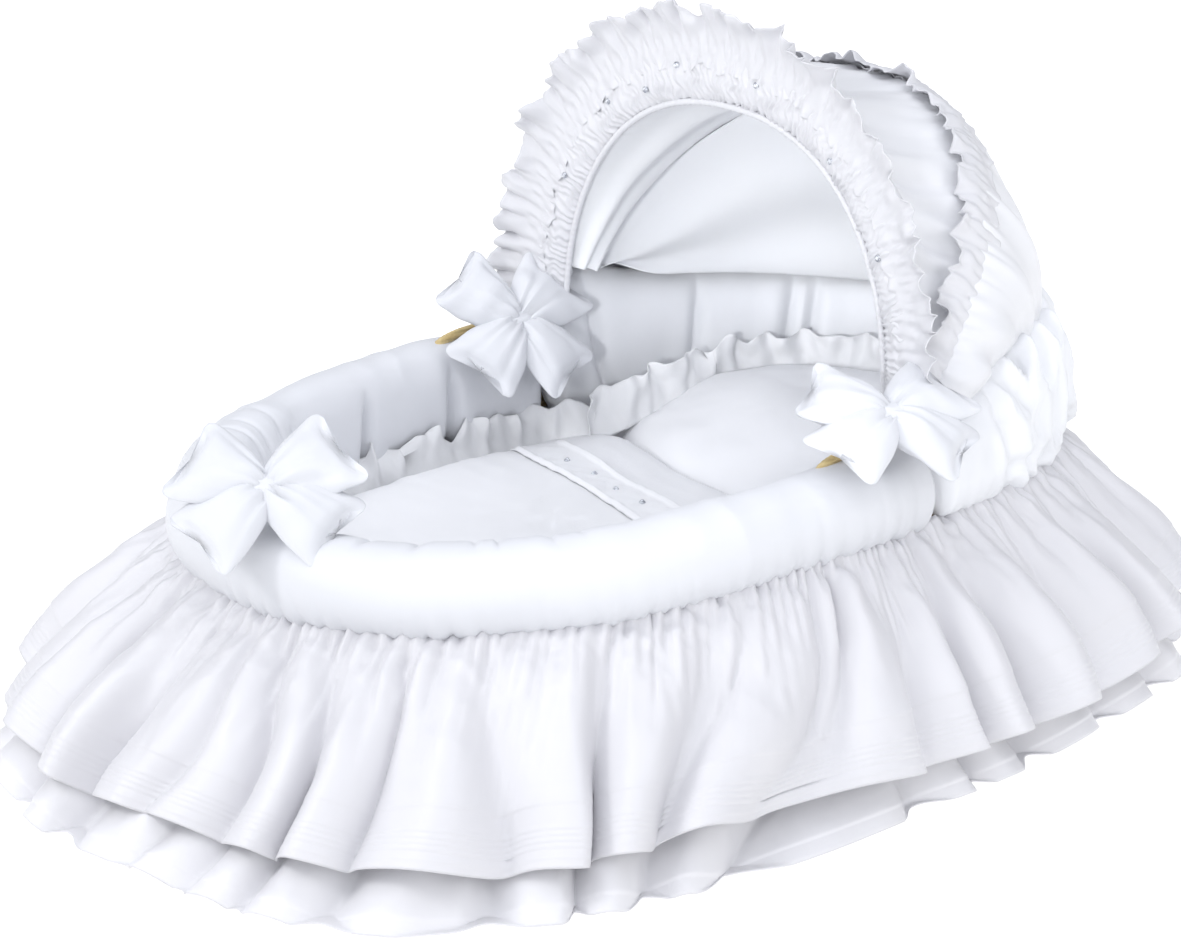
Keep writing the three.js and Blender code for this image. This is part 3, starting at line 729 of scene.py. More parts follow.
def inner_rise(x):
    """Its inside is at full height soon after the hinges, and highest beside them."""
    beside = 1 - smooth(x, 0.160, 0.240)
    return (HEAD_RISE + 0.018 * beside) * smooth(x, 0.104, 0.132)


def make_head_pouf():
    """The tall head end: quilted inside, gathered into a loose puff outside."""
    end = angle_at(ROLL_END_X + 0.004)
    angle, along = even(rim, 430, -end, end)
    section = closed_curve(HEAD_SECTION, 96)
    normal = section_normals(section)
    out, up = section[:, 0, None], section[:, 1, None]
    plan = rim(angle)
    x, y = plan[:, 0], plan[:, 1]
    outside = smooth(out, -0.006, 0.018)
    inside = smooth(-out, 0.002, 0.020)

    places = along[-1] / 2 + np.array([-0.39, -0.27, -0.155, -0.045, 0.06, 0.165, 0.19, 0.29, 0.40])
    valley = channel_valleys(along, up, places, 0.007, 31)
    fade = inside * smooth(-up, -0.036, -0.016)
    push = -0.0095 * valley * fade + 0.0035 * (1 - valley) * fade

    puffs = Pleats(32, along[-1], 0.052, 0.5, 0.4)
    slant = along + 0.5 * up * Ripple(33, 0.2, 0.2)(x, y)
    push += 0.0065 * puffs.wave(slant) * outside * smooth(x, 0.16, 0.26)
    crumple = Ripple(34, 0.05, 0.05, 0.035)(x, y, up)
    push += 0.0042 * ridged(crumple) * outside * smooth(x, 0.16, 0.26)
    push += 0.0009 * ridged(Ripple(37, 0.024, 0.024, 0.022)(x, y, up)) * outside * smooth(x, 0.16, 0.26)
    gathers = Pleats(35, along[-1], 0.014, 0.45, 0.2)
    push += 0.0022 * gathers.wave(along) * np.exp(-np.maximum(up + 0.034, 0) / 0.014) * outside
    push += 0.0010 * Ripple(36, 0.05, 0.05, 0.06)(x, y, up)
    rise = mix(head_rise(x), inner_rise(x), smooth(-out, -0.012, 0.016))
    points = padded_ring(section, normal, angle, along, push, rise)
    pouf = grid_piece("head_pouf", points, pouf_satin, wrap_rows=True, fans=True)
    place(pouf, "basket", "padded_satin", "head_bolster")


def make_lower_lining():
    """The channelled lining below the rim pad, down to the mattress."""
    angle, along = even(lambda a: rim(a, -0.03), 521)
    angle, along = angle[:-1], along[:-1]
    up = np.linspace(0, 1, 26)[:, None]
    z = mix(0.060, SEAM_Z - 0.013, up) + rim_z(angle) - RIM_HEIGHT
    back = wall_out(z) - 0.0075
    puff = 0.017 * np.sin(math.pi * np.clip(up, 0.02, 0.98)) ** 0.5
    places = np.arange(0.05, along[-1], 0.105)
    valley = channel_valleys(along, z, places, 0.007, 41)
    front = back - 0.004 - puff * (1 - 0.6 * valley)
    plan = rim(angle)
    front += 0.0008 * Ripple(42, 0.05, 0.05, 0.06)(plan[:, 0], plan[:, 1], up)

    def surface(out):
        return np.concatenate([rim(np.broadcast_to(angle, out.shape), out), z[..., None]], -1)

    points = np.concatenate([surface(front), surface(back)[::-1]], axis=0)
    lining = grid_piece("quilted_lining", points, lining_satin, wrap_rows=True, wrap_columns=True)
    place(lining, "basket", "lining_satin", "inner_lining")


# ---------- carrying grips ----------
def tube_points(path, radius, sides, twist=None):
    """Rings of points round a path. twist(along, around) adds to the radius."""
    ahead = np.gradient(path, axis=0)
    ahead /= np.linalg.norm(ahead, axis=1, keepdims=True)
    steps = np.linalg.norm(np.diff(path, axis=0), axis=1)
    along = np.concatenate([[0], np.cumsum(steps)])
    side = np.cross(ahead, (0, 0, 1.0)) + 1e-9
    side /= np.linalg.norm(side, axis=1, keepdims=True)
    over = np.cross(side, ahead)
    around = np.linspace(0, TURN, sides, endpoint=False)[:, None]
    grow = radius + (twist(along, around) if twist else 0 * along)
    ring = np.cos(around)[..., None] * side + np.sin(around)[..., None] * over
    return path + ring * grow[..., None]


def make_grips():
    """Low cane grips, wrapped with a flat strand."""
    for side in ("left", "right"):
        low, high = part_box(f"carry_grip_{side}")
        radius = 0.0045
        middle = (low + high) / 2
        share = np.linspace(0, 1, 120)
        x = mix(low.x + radius, high.x - radius, 0.5 - 0.5 * np.cos(math.pi * share))
        z = mix(low.z, high.z - radius, np.sin(math.pi * share) ** 0.4)
        path = np.stack([x, np.full_like(x, middle.y), z], -1)

        def wrap(along, around):
            return 0.0006 * np.abs(np.cos(TURN * along / 0.009 + around)) ** 0.5 - 0.0003

        points = tube_points(path, radius - 0.0003, 20, wrap)
        grip = grid_piece(f"wrapped_grip_{side}", points, grip_cane, wrap_rows=True, fans=True)
        place(grip, "basket", "wicker", f"carry_grip_{side}")


# ---------- bedding ----------
def cushion(outline, low, high, edge, rows=46, columns=240):
    """A cushion's surface, from the middle of its underside over its edge to the middle of its top."""
    turn = np.linspace(-math.pi / 2, math.pi / 2, 900)
    share = np.cos(turn) ** edge
    height = signed_power(np.sin(turn), 2 * edge)
    size = outline.sizes[1]
    steps = np.hypot(np.diff(share) * size, np.diff(height) * (high - low) / 2)
    run = np.concatenate([[0], np.cumsum(steps)])
    wanted = np.linspace(0, run[-1], rows)
    share = np.clip(np.interp(wanted, run, share), 0.012, 1)[:, None]
    height = np.interp(wanted, run, height)[:, None]
    angle, _ = even(outline, columns + 1)
    angle = angle[:-1]
    middle = outline(np.array([0, math.pi])).mean(0)
    plan = middle + (outline(angle) - middle) * share[..., None]
    z = mix(low, high, (height + 1) / 2) + 0 * angle
    return np.concatenate([plan, z[..., None]], -1), share, height


def cushion_piece(name, points, material):
    flat = np.transpose(points, (1, 0, 2))
    return grid_piece(name, flat, material, wrap_rows=True, fans=True)


def make_mattress():
    inset = 0.052
    inside = Outline(RIM_HALF_LENGTH - inset, RIM_HALF_WIDTH - inset, RIM_POWER, RIM_TAPER, RIM_X)
    points, _, _ = cushion(inside, 0.0115, MATTRESS_TOP, 0.16, 30, 200)
    mattress = cushion_piece("mattress_pad", points, mattress_cotton)
    place(mattress, "basket", "mattress_cover", "mattress")


COVERLET = Outline(0.186, 0.194, 9, 0.02, -0.110 + RIM_X, foot_power=3)
PILLOW = Outline(0.146, 0.156, 3.0, 0.22, 0.218 + RIM_X, foot_power=9)
MEETING_X = COVERLET.sizes[4] + COVERLET.sizes[0]
MEETING_SKEW = 0.22


def skewed(points, start, end):
    """Slants the edge where the quilt and the pillow meet. The slant fades away from it."""
    x, y = points[..., 0], points[..., 1]
    points[..., 0] += MEETING_SKEW * y * smooth(x, start, end)
    return points


def make_coverlet():
    points, share, height = cushion(COVERLET, MATTRESS_TOP + 0.0008, COVERLET_TOP, 0.17, 60, 300)
    x, y = points[..., 0], points[..., 1]
    upper = smooth(height, 0, 0.6)
    lift = 0.0035 * Ripple(51, 0.16, 0.16)(x, y) + 0.0004 * Ripple(52, 0.045, 0.045)(x, y)
    pull = 0.0007 * Ripple(53, 0.03, 0.14)(x, y) * smooth(share, 0.5, 0.95)
    points[..., 2] += upper * (lift + pull + 0.004 * (1 - share**2))
    points = skewed(points, COVERLET.sizes[4], MEETING_X)
    coverlet = cushion_piece("coverlet_quilt", points, quilt_satin)
    place(coverlet, "basket", "padded_satin", "coverlet")
    return coverlet


def make_pillow():
    points, share, height = cushion(PILLOW, MATTRESS_TOP + 0.0008, PILLOW_TOP, 0.26, 60, 300)
    x, y = points[..., 0], points[..., 1]
    upper = smooth(height, -0.2, 0.6)
    lift = 0.003 * Ripple(56, 0.13, 0.13)(x, y) + 0.0004 * Ripple(57, 0.04, 0.04)(x, y)
    slope = 0.036 * (1 - smooth(x, MEETING_X - 0.02, MEETING_X + 0.15))
    points[..., 2] += upper * (lift + 0.004 * (1 - share**2) - slope)
    points = skewed(points, MEETING_X + 0.13, MEETING_X)
    pillow = cushion_piece("pillow_cushion", points, quilt_satin)
    place(pillow, "basket", "padded_satin", "pillow")
    return pillow


def surface_under(piece):
    """Finds the height of a piece's top at a place in plan."""
    corners = [v.co for v in piece.data.vertices]
    tree = BVHTree.FromPolygons(corners, [p.vertices for p in piece.data.polygons])

    def height(x, y):
        hit = tree.ray_cast(Vector((x, y, 1)), Vector((0, 0, -1)))
        return hit[0].z if hit[0] else COVERLET_TOP

    return height


BAND_SKEW = math.radians(-15)
BAND_MIDDLE = Vector((-0.022 + RIM_X, 0.010))
BAND_HALF = 0.026
BAND_REACH = 0.170


def band_place(across, along):
    c, s = math.cos(BAND_SKEW), math.sin(BAND_SKEW)
    return BAND_MIDDLE.x + across * c - along * s, BAND_MIDDLE.y + across * s + along * c


def make_coverlet_band(coverlet):
    """A plain band across the quilt between two raised tucks."""
    height = surface_under(coverlet)
    across = np.unique(np.concatenate([np.linspace(-BAND_HALF, BAND_HALF, 30), [-0.0245, 0.0245]]))
    along = np.linspace(-BAND_REACH, BAND_REACH, 130)
    points = np.zeros((len(across), len(along), 3))
    for i, a in enumerate(across):
        for j, b in enumerate(along):
            x, y = band_place(a, b + 0.0012 * math.sin(b * 60))
            tuck = 0.0036 * math.exp(-(((abs(a) - 0.0215) / 0.0026) ** 2))
            end = 1 - smooth(abs(b), BAND_REACH - 0.01, BAND_REACH)
            points[i, j] = (x, y, height(x, y) + 0.0012 + tuck * end)
    points[..., 2] += 0.0004 * Ripple(61, 0.02, 0.02)(points[..., 0], points[..., 1])
    band = cloth_piece("coverlet_tucks", points, quilt_satin, thickness=0.001)
    place(band, "basket", "skirt_satin", "coverlet_band")
    gems = [(0.004 * math.sin(3 * k), -0.088 + 0.047 * k) for k in range(5)]
    for number, (a, b) in enumerate(gems):
        x, y = band_place(a, b)
        spot = Vector((x, y, height(x, y) + 0.0020))
        make_gem(f"coverlet_gem_{number + 1}", spot, Vector((0, 0, 1)), "basket")


def make_gem(name, point, facing, body, radius=0.0026):
    """A set stone: a faceted dome in a round collet."""
    levels = [(1.18, -0.5), (1.18, 0.15), (1.0, 0.3), (0.95, 0.2), (0.85, 0.62), (0.5, 0.9), (0.12, 0.9)]
    sides = 12
    turn = facing.to_track_quat("Z", "Y")
    rings = []
    for level, (size, rise) in enumerate(levels):
        half = math.pi / sides * (level % 2)
        spots = [half + TURN * k / sides for k in range(sides)]
        ring = [Vector((size * math.cos(a), size * math.sin(a), rise)) * radius for a in spots]
        rings.append([point + turn @ p for p in ring])
    points = np.transpose(np.array(rings, float), (1, 0, 2))
    gem = grid_piece(name, points, gem_glass, wrap_rows=True, fans=True)
    gem.data.polygons.foreach_set("use_smooth", np.zeros(len(gem.data.polygons), bool))
    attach(gem, body)


# ---------- frills ----------
def frill_points(path, out, face, inner, outer, spacing, seed, rows=22, flare=0.5, depth=0.0085):
    """A gathered strip along a path. It is gathered at width 0 and free at both edges.

    out is the way the strip widens and face is the way it is seen from. inner and outer are its two widths.
    """
    steps = np.linalg.norm(np.diff(path, axis=0), axis=1)
    along = np.concatenate([[0], np.cumsum(steps)])
    ahead = np.gradient(path, axis=0)
    ahead /= np.linalg.norm(ahead, axis=1, keepdims=True)
    low = -1.0 if inner > 0 else 0.0
    w = np.linspace(low, 1, rows)[:, None]
    width = np.where(w < 0, inner, outer)
    free = np.abs(w)
    tight = Pleats(seed, along[-1], spacing, 0.35, 0.35)
    loose = Pleats(seed + 1, along[-1], spacing * 2.1, 0.45, 0.45)
    loose_inner = Pleats(seed + 2, along[-1], spacing * 1.7, 0.45, 0.45)
    swell = Ripple(seed + 3, 0.05)
    close = 0.0022 * np.exp(-free / 0.28) * tight.wave(along)
    side = np.where(w < 0, loose_inner.wave(along + 0.004 * w), loose.wave(along))
    shift = np.where(w < 0, loose_inner.slide(along), loose.slide(along))
    opened = free**1.15
    crumple = Ripple(seed + 5, 0.022, 0.9)(along, w) + 0.6 * Ripple(seed + 6, 0.060, 1.4)(along, w)
    depth = np.where(w < 0, 0.38 * depth, depth)
    push = close + depth * opened * side + depth * 0.35 * free * tight.wave(along + 0.004)
    push += np.where(w < 0, 0.3, 0.45) * depth * free * crumple
    slide = 0.42 * depth * opened * shift
    reach = width * w * (1 + 0.13 * swell(along) * free - 0.10 * opened * (1 - np.abs(side)))
    tip = np.where(w < 0, -0.05, 1) * flare * width * free**1.6 * (1 + 0.4 * Ripple(seed + 4, 0.06)(along))
    lift = push + tip
    return (
        path
        + out * reach[..., None]
        + face * lift[..., None]
        + ahead * slide[..., None]
    )


def make_bedding_frills():
    angle, _ = even(COVERLET, 900, math.radians(28), math.radians(268))
    plan, normal = COVERLET(angle, 0.002), COVERLET.normal(angle)
    z = COVERLET_TOP - 0.020 + 0.003 * Ripple(71, 0.1, 0.1)(plan[:, 0], plan[:, 1])
    path = np.concatenate([plan, z[:, None]], -1)
    out = np.concatenate([0.42 * normal, np.full((len(angle), 1), 0.90)], -1)
    face = np.concatenate([0.90 * normal, np.full((len(angle), 1), -0.42)], -1)
    points = frill_points(path, out, face, 0.0, 0.048, 0.021, 72, flare=-0.06, depth=0.0105)
    edge = cloth_piece("coverlet_frill", points, organza, thickness=0.0006)
    place(edge, "basket", "organza", "coverlet_ruffle")

    angle, _ = even(PILLOW, 900, math.radians(-146), math.radians(146))
    normal = PILLOW.normal(angle)
    rise = smooth(PILLOW(angle)[:, 0], MEETING_X - 0.02, MEETING_X + 0.15)
    plan = PILLOW(angle, -0.003 - 0.015 * rise)
    z = PILLOW_TOP - 0.054 + 0.030 * rise + 0.003 * Ripple(75, 0.1, 0.1)(plan[:, 0], plan[:, 1])
    path = np.concatenate([plan, z[:, None]], -1)
    lean = 0.24 - 0.10 * rise[:, None]
    out = np.concatenate([lean * normal, np.sqrt(1 - lean**2)], -1)
    face = np.concatenate([-np.sqrt(1 - lean**2) * normal, lean], -1)
    points = frill_points(path, out, face, 0.0, 0.050, 0.020, 76, flare=0.0, depth=0.0090)
    edge = cloth_piece("pillow_frill", points, organza, thickness=0.0006)
    place(edge, "basket", "organza", "pillow_ruffle")


# ---------- hood ----------
def arch(half_width, height, lean, turn, ahead=0.0):
    """A point on a hoop-shaped arch. turn runs from 0 at the left hinge to pi at the right."""
    lean = np.radians(lean)
    y = half_width * signed_power(np.cos(turn), 2 / HOOP_POWER)
    up = height * signed_power(np.sin(turn), 2 / HOOP_POWER)
    x = HINGE.x + up * np.sin(lean) - ahead * np.cos(lean)
    z = HINGE.z + up * np.cos(lean) + ahead * np.sin(lean)
    return np.stack(np.broadcast_arrays(x, y, z), -1)


OPENING = (0.206, 0.234)
EYELET_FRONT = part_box("front_hoop")[1].y - 0.003
EYELET_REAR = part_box("rear_hoop")[1].y - 0.003
FRONT_HOOP = (EYELET_FRONT, 0.280)
REAR_HOOP = (EYELET_REAR, 0.296)


def grown(size, by):
    return size[0] + by, size[1] + by


def hoop_turns(size, lowest, count, lean=0):
    """Even turns along an arch, from a height above the hinge on one side to the same on the other."""
    start = math.asin((lowest / size[1]) ** (HOOP_POWER / 2))
    return even(lambda t: arch(*size, lean, t), count, start, math.pi - start)


def away_from_hinge(turn, lean):
    """Unit vectors that point out from a hoop in its own plane."""
    inner, outer = arch(0.24, 0.28, lean, turn), arch(0.26, 0.30, lean, turn)
    out = outer - inner
    return out / np.linalg.norm(out, axis=-1, keepdims=True)


def lean_ahead(lean):
    angle = math.radians(lean)
    return np.array([-math.cos(angle), 0, math.sin(angle)])


# Round the padded casing: its share of the way out from the opening to the hoop, and metres ahead.
BAND_SECTION = [
    (0.0, 0.0),
    (0.3, 0.0085),
    (0.7, 0.0100),
    (1.13, 0.005),
    (1.16, -0.004),
    (0.7, -0.0065),
    (0.3, -0.005),
]
HOOD_GEMS = [(0.30, 0.55), (0.37, 0.35), (0.43, 0.70), (0.56, 0.62), (0.70, 0.40), (0.17, 0.5), (0.83, 0.5)]


def make_front_band():
    """A shirred casing over the front hoop, from the piping to the frill."""
    turn, along = hoop_turns(FRONT_HOOP, 0.012, 900)
    depth = FRONT_HOOP[1] - OPENING[1]
    section = closed_curve(BAND_SECTION, 54)
    normal = section_normals(section * np.array([depth, 1]))
    share, ahead = section[:, 0, None], section[:, 1, None]
    gathers = Pleats(81, along[-1], 0.0078, 0.35, 0.35)
    slant = along + 0.004 * Ripple(82, 0.05, 0.4)(along, share)
    push = 0.0025 * gathers.wave(slant) * (0.6 + 0.4 * np.abs(2 * share - 1))
    push += 0.0007 * Ripple(83, 0.035, 0.6)(along, share)
    share = share + normal[:, 0, None] * push / depth
    ahead = ahead + normal[:, 1, None] * push
    half_width = mix(OPENING[0], FRONT_HOOP[0], share)
    height = mix(OPENING[1], FRONT_HOOP[1], share)
    points = arch(half_width, height, FRONT_LEAN, turn, ahead)
    band = grid_piece("shirred_band", points, frill_satin, wrap_rows=True, fans=True)
    place(band, "front_hood", "hood_satin", "front_band")

    fine = Pleats(84, along[-1], 0.0062, 0.3, 0.4)
    path = arch(*grown(OPENING, -0.0015), FRONT_LEAN, turn, 0.001)
    piping = grid_piece(
        "opening_piping",
        tube_points(path, 0.0030, 14, lambda s, a: 0.0003 * fine.wave(s) + 0 * a),
        frill_satin,
        wrap_rows=True,
        fans=True,
    )
    place(piping, "front_hood", "hood_satin", "front_piping")

    for number, (at, share) in enumerate(HOOD_GEMS):
        t = turn[int(at * len(turn))]
        size = (mix(OPENING[0], FRONT_HOOP[0], share), mix(OPENING[1], FRONT_HOOP[1], share))
        spot = arch(*size, FRONT_LEAN, t, 0.0112)
        make_gem(f"hood_gem_{number + 1}", Vector(spot), Vector(lean_ahead(FRONT_LEAN)), "front_hood")


def make_hood_frills():
    turn, _ = hoop_turns(FRONT_HOOP, 0.014, 1500)
    ahead = lean_ahead(FRONT_LEAN)
    path = arch(*grown(FRONT_HOOP, 0.006), FRONT_LEAN, turn, 0.0100)
    out = away_from_hinge(turn, FRONT_LEAN)
    face = np.broadcast_to(ahead, out.shape)
    points = frill_points(path, out, face, 0.024, 0.036, 0.0105, 91, rows=34, flare=0.35, depth=0.0074)
    frill = cloth_piece("front_frill", points, frill_satin, thickness=0.0008)
    place(frill, "front_hood", "hood_satin", "front_ruffle")

    turn, _ = hoop_turns(REAR_HOOP, 0.022, 1300)
    ahead = lean_ahead(REAR_LEAN)
    path = arch(*grown(REAR_HOOP, 0.0145), REAR_LEAN, turn)
    face = away_from_hinge(turn, REAR_LEAN)
    out = np.broadcast_to(ahead, face.shape)
    points = frill_points(path, out, face, 0.024, 0.030, 0.0115, 95, rows=26, flare=-0.30, depth=0.0058)
    frill = cloth_piece("rear_frill", points, frill_satin, thickness=0.0008)
    place(frill, "rear_hood", "hood_satin", "rear_ruffle")


def hood_skin(front, rear, leans, turn, rows, drop):
    """A sheet between two arches. drop(share) is how far it hangs inside the straight line."""
    share = np.linspace(0, 1, rows)[:, None]
    inward = drop(share)
    half_width = mix(front[0], rear[0], share) - inward
    height = mix(front[1], rear[1], share) - inward
    return arch(half_width, height, mix(leans[0], leans[1], share), turn), share


def make_canopy():
    turn, along = hoop_turns(REAR_HOOP, 0.016, 640)
    gathers = Pleats(101, along[-1], 0.0135, 0.4, 0.3)
    folds = Pleats(102, along[-1], 0.060, 0.5, 0.3)

    def drop(share):
        ends = np.exp(-share / 0.10) + np.exp(-(1 - share) / 0.13)
        hung = np.sin(math.pi * np.minimum(share / 0.92, 1))  # it lies flat over the rear hoop
        sag = 0.023 * hung**0.8
        slant = along + 0.05 * share * Ripple(103, 0.25)(along)
        soft = 0.0085 * folds.wave(slant) * hung
        creases = 0.0020 * Ripple(104, 0.035, 0.9)(along, share)
        return sag + 0.0026 * ends * gathers.wave(along) + soft + creases

    front, rear = grown(FRONT_HOOP, 0.004), grown(REAR_HOOP, 0.0095)
    points, _ = hood_skin(front, rear, (FRONT_LEAN + 1, REAR_LEAN + 1.5), turn, 70, drop)
    canopy = cloth_piece("canopy_cloth", points, hood_satin)
    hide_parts("hood_canopy")
    blend_hood(canopy)


def blend_hood(piece):
    """Bakes the cloth's placement into its points."""
    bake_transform(piece)


LINING_GAP = 0.019
LINING_FOOT = 0.045  # its lower edge, above the hinge


def make_hood_lining():
    turn, along = hoop_turns(OPENING, LINING_FOOT, 560)
    middle = along - along[-1] / 2
    gathers = Pleats(111, along[-1], 0.016, 0.4, 0.3)

    def drop(share):
        ends = np.exp(-share / 0.08)
        sag = 0.020 * np.sin(math.pi * share) ** 0.9
        swag = share + 1.1 * (middle / along[-1]) ** 2
        billow = 0.0045 * np.cos(TURN * 2.0 * swag) * smooth(share, 0.05, 0.5)
        soft = 0.0022 * Ripple(112, 0.16, 0.7)(along, share)
        sewn = 1 - smooth(share, 0.82, 1)
        return sag + 0.0016 * ends * gathers.wave(along) + (billow + soft) * sewn

    front, rear = grown(OPENING, 0.002), grown(REAR_HOOP, -LINING_GAP)
    points, _ = hood_skin(front, rear, (FRONT_LEAN + 0.9, REAR_LEAN), turn, 64, drop)
    lining = cloth_piece("lining_cloth", points, lining_satin)
    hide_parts("hood_lining")
    blend_hood(lining)


def back_foot(share, inward, lift):
    """A line along the top of the head end, from its left side round to its right."""
    start = 0.175
    angle = mix(angle_at(start), -angle_at(start), share)
    plan = rim(angle, 0.004 - inward)
    rise = inner_rise if inward > 0 else head_rise
    z = rim_z(angle) + 0.038 + rise(plan[..., 0]) + lift * np.sin(math.pi * share)
    return np.concatenate([plan, z[..., None]], -1)


def back_sheet(size, lean, lowest, rows, inward, lift, push):
    """A sheet from a hoop down to the head end. push(share down, along) moves it out."""
    turn, along = hoop_turns(size, lowest, 520)
    top = arch(*size, lean, turn)
    share = (along / along[-1])[None]
    foot = back_foot(share[0], inward, lift)
    down = np.linspace(0, 1, rows)[:, None]
    base = mix(top, foot, down[..., None])
    outward = base - np.array([HINGE.x + 0.02, 0, HINGE.z - 0.02])
    outward /= np.linalg.norm(outward, axis=-1, keepdims=True)
    return base + outward * push(down, along)[..., None]


def blend_back(piece):
    """Bakes the cloth's placement into its points."""
    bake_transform(piece)


def make_hood_back():
    length = hoop_turns(REAR_HOOP, 0.030, 520)[1][-1]
    gathers = Pleats(121, length, 0.015, 0.4, 0.3)
    folds = Pleats(122, length, 0.055, 0.5, 0.35)

    def push(down, along):
        ends = np.exp(-down / 0.12) + np.exp(-(1 - down) / 0.15)
        billow = 0.022 * np.sin(math.pi * down) ** 0.8
        soft = 0.006 * folds.wave(along) * np.sin(math.pi * down)
        creases = 0.0016 * Ripple(123, 0.04, 0.8)(along, down)
        return billow + 0.0028 * ends * gathers.wave(along) + soft + creases

    points = back_sheet(grown(REAR_HOOP, 0.0105), REAR_LEAN - 1, 0.030, 56, 0.0, -0.010, push)
    back = cloth_piece("back_cloth", points, hood_satin)
    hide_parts("hood_back")
    blend_back(back)


def make_inner_swag():
    """The lining's back fall: soft swags that end in a curved edge inside the head end."""
    lowest = LINING_FOOT * (REAR_HOOP[1] - LINING_GAP) / OPENING[1]
    length = hoop_turns(REAR_HOOP, lowest, 520)[1][-1]

    def push(down, along):
        middle = along / length - 0.5
        scallop = down - 0.5 * middle**2
        billow = -0.012 * np.sin(math.pi * down)
        swags = 0.0050 * np.cos(TURN * 1.6 * scallop) * smooth(down, 0.05, 0.3)
        soft = 0.0020 * Ripple(131, 0.16, 0.7)(along, down)
        return billow + swags + soft

    points = back_sheet(grown(REAR_HOOP, -LINING_GAP), REAR_LEAN - 0.3, lowest, 60, 0.036, -0.012, push)
    swag = cloth_piece("lining_swag", points, lining_satin)
    blend_back(swag)


# ---------- bows ----------
BOW_FACING = {"foot": (-0.4, -0.42, 0.82), "left": (-0.1, -0.66, 0.74), "right": (-0.12, -0.36, 0.93)}
BOW_TILT = {"foot": (30, 36), "left": (42, 46), "right": (30, 36)}
BOW_WING = {"foot": (0.8, -0.6, 0.0), "left": (0.92, -0.3, -0.14), "right": (0.88, -0.46, 0.0)}


def bow_lobe(length, tip, thick, tilt, seed, corner):
    """A padded lobe along +X that faces +Z: narrow at the knot, with two soft corners at its end."""
    rows, sides = 60, 64
    share = np.linspace(0, 1, rows)[None]
    around = np.linspace(0, TURN, sides, endpoint=False)[:, None]
    spread = np.clip(share, 0.0, 1.0) ** 0.62
    close = np.sqrt(np.clip(1 - np.clip((share - 0.88) / 0.12, 0, 1) ** 2, 0.0004, 1))
    half = mix(0.009, tip, spread) * (1 - (1 - corner) * (1 - close))
    puff = mix(0.006, thick, np.sin(math.pi * np.clip(share, 0, 1) ** 0.72) ** 0.6) * close**0.5
    c, s = np.cos(around), np.sin(around)
    y = half * signed_power(c, 0.85)
    z = puff * signed_power(s, 1.1) * (1 - 0.35 * np.abs(c) ** 3)
    x = length * share * (0.93 + 0.20 * corner * np.abs(c) ** 3 * smooth(share, 0.5, 1))
    fan = np.arctan2(y, 0.02 + x)
    rng = np.random.default_rng(seed)
    creases = 0.0
    for place_at in rng.uniform(-0.42, 0.42, 6):
        reach = rng.uniform(0.25, 0.75)
        creases = creases + bump(fan, place_at, 0.045) * np.exp(-share / reach) * smooth(share, 0, 0.08)
    dent = 0.0042 * creases * np.sign(z)
    z = z - dent + 0.0011 * Ripple(seed + 1, 0.035, 0.035)(x, y)
    lean = math.radians(tilt)
    cosine, sine = math.cos(lean), math.sin(lean)
    return np.stack([x * cosine - y * sine, x * sine + y * cosine, z], -1)


def make_bow(side, number):
    low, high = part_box(f"{side}_bow_knot")
    middle = (low + high) / 2
    facing = Vector(BOW_FACING[side]).normalized()
    up = facing.cross(Vector(BOW_WING[side])).normalized()
    right = up.cross(facing)
    basis = np.array([right, up, facing])

    def bow_mesh(name, local):
        points = local @ basis + np.array(middle)
        return grid_piece(name, points, padded_satin, wrap_rows=True, fans=True)

    def lobes(name, shapes, node):
        made = []
        for index, (tilt, length, tip, thick, lift) in enumerate(shapes):
            local = bow_lobe(length, tip, thick, tilt, 200 + 20 * number + index + len(name), 0.75)
            radius = np.hypot(local[..., 0], local[..., 1]) / length
            local[..., 2] += lift * radius**2
            made.append(bow_mesh("lobe", local))
        bow = join(name, made)
        place(bow, "basket", "padded_satin", node)

    up_tilt, down_tilt = BOW_TILT[side]
    wings = [(tilt, 0.070, 0.043, 0.020, 0.004) for tilt in (up_tilt, 180 - up_tilt)]
    ends = [(tilt, 0.068, 0.040, 0.018, -0.007) for tilt in (-down_tilt, down_tilt - 180)]
    lobes(f"{side}_bow_wings", wings, f"{side}_bow_loops")
    lobes(f"{side}_bow_ends", ends, f"{side}_bow_tails")

    around = np.linspace(0, TURN, 40, endpoint=False)[:, None]
    across = np.linspace(-1, 1, 36)[None]
    radius = 0.0135 - 0.0032 * np.abs(across) ** 4
    wrinkle = 0.0009 * Ripple(230 + number, 0.6, 3.0)(around, across)
    radius = radius + wrinkle * np.sin(around) ** 2
    along = 0.0115 * across + 0 * around
    local = np.stack([along, radius * np.cos(around) * 1.15, radius * np.sin(around) + 0 * across], -1)
    knot = bow_mesh(f"{side}_bow_band", local)
    place(knot, "basket", "padded_satin", f"{side}_bow_knot")


# ---------- camera, floor and light ----------
CAMERA_AZIMUTH = math.radians(-43.238)
CAMERA_ELEVATION = math.radians(18.425)
CAMERA_DISTANCE = 3.2
LOOK_AT = Vector((RIM_X, 0, 0.2))


def make_camera():
    level = math.cos(CAMERA_ELEVATION)
    east, north = math.sin(CAMERA_AZIMUTH) * level, -math.cos(CAMERA_AZIMUTH) * level
    back = Vector((east, north, math.sin(CAMERA_ELEVATION)))
    data = bpy.data.cameras.new("camera")
    data.lens = 109.12
    data.shift_x = -0.0467
    data.shift_y = -0.0116
    camera = bpy.data.objects.new("camera", data)
    camera.location = LOOK_AT + CAMERA_DISTANCE * back
    camera.rotation_mode = "QUATERNION"
    camera.rotation_quaternion = (-back).to_track_quat("-Z", "Y")
    bpy.context.scene.collection.objects.link(camera)
    bpy.context.scene.camera = camera


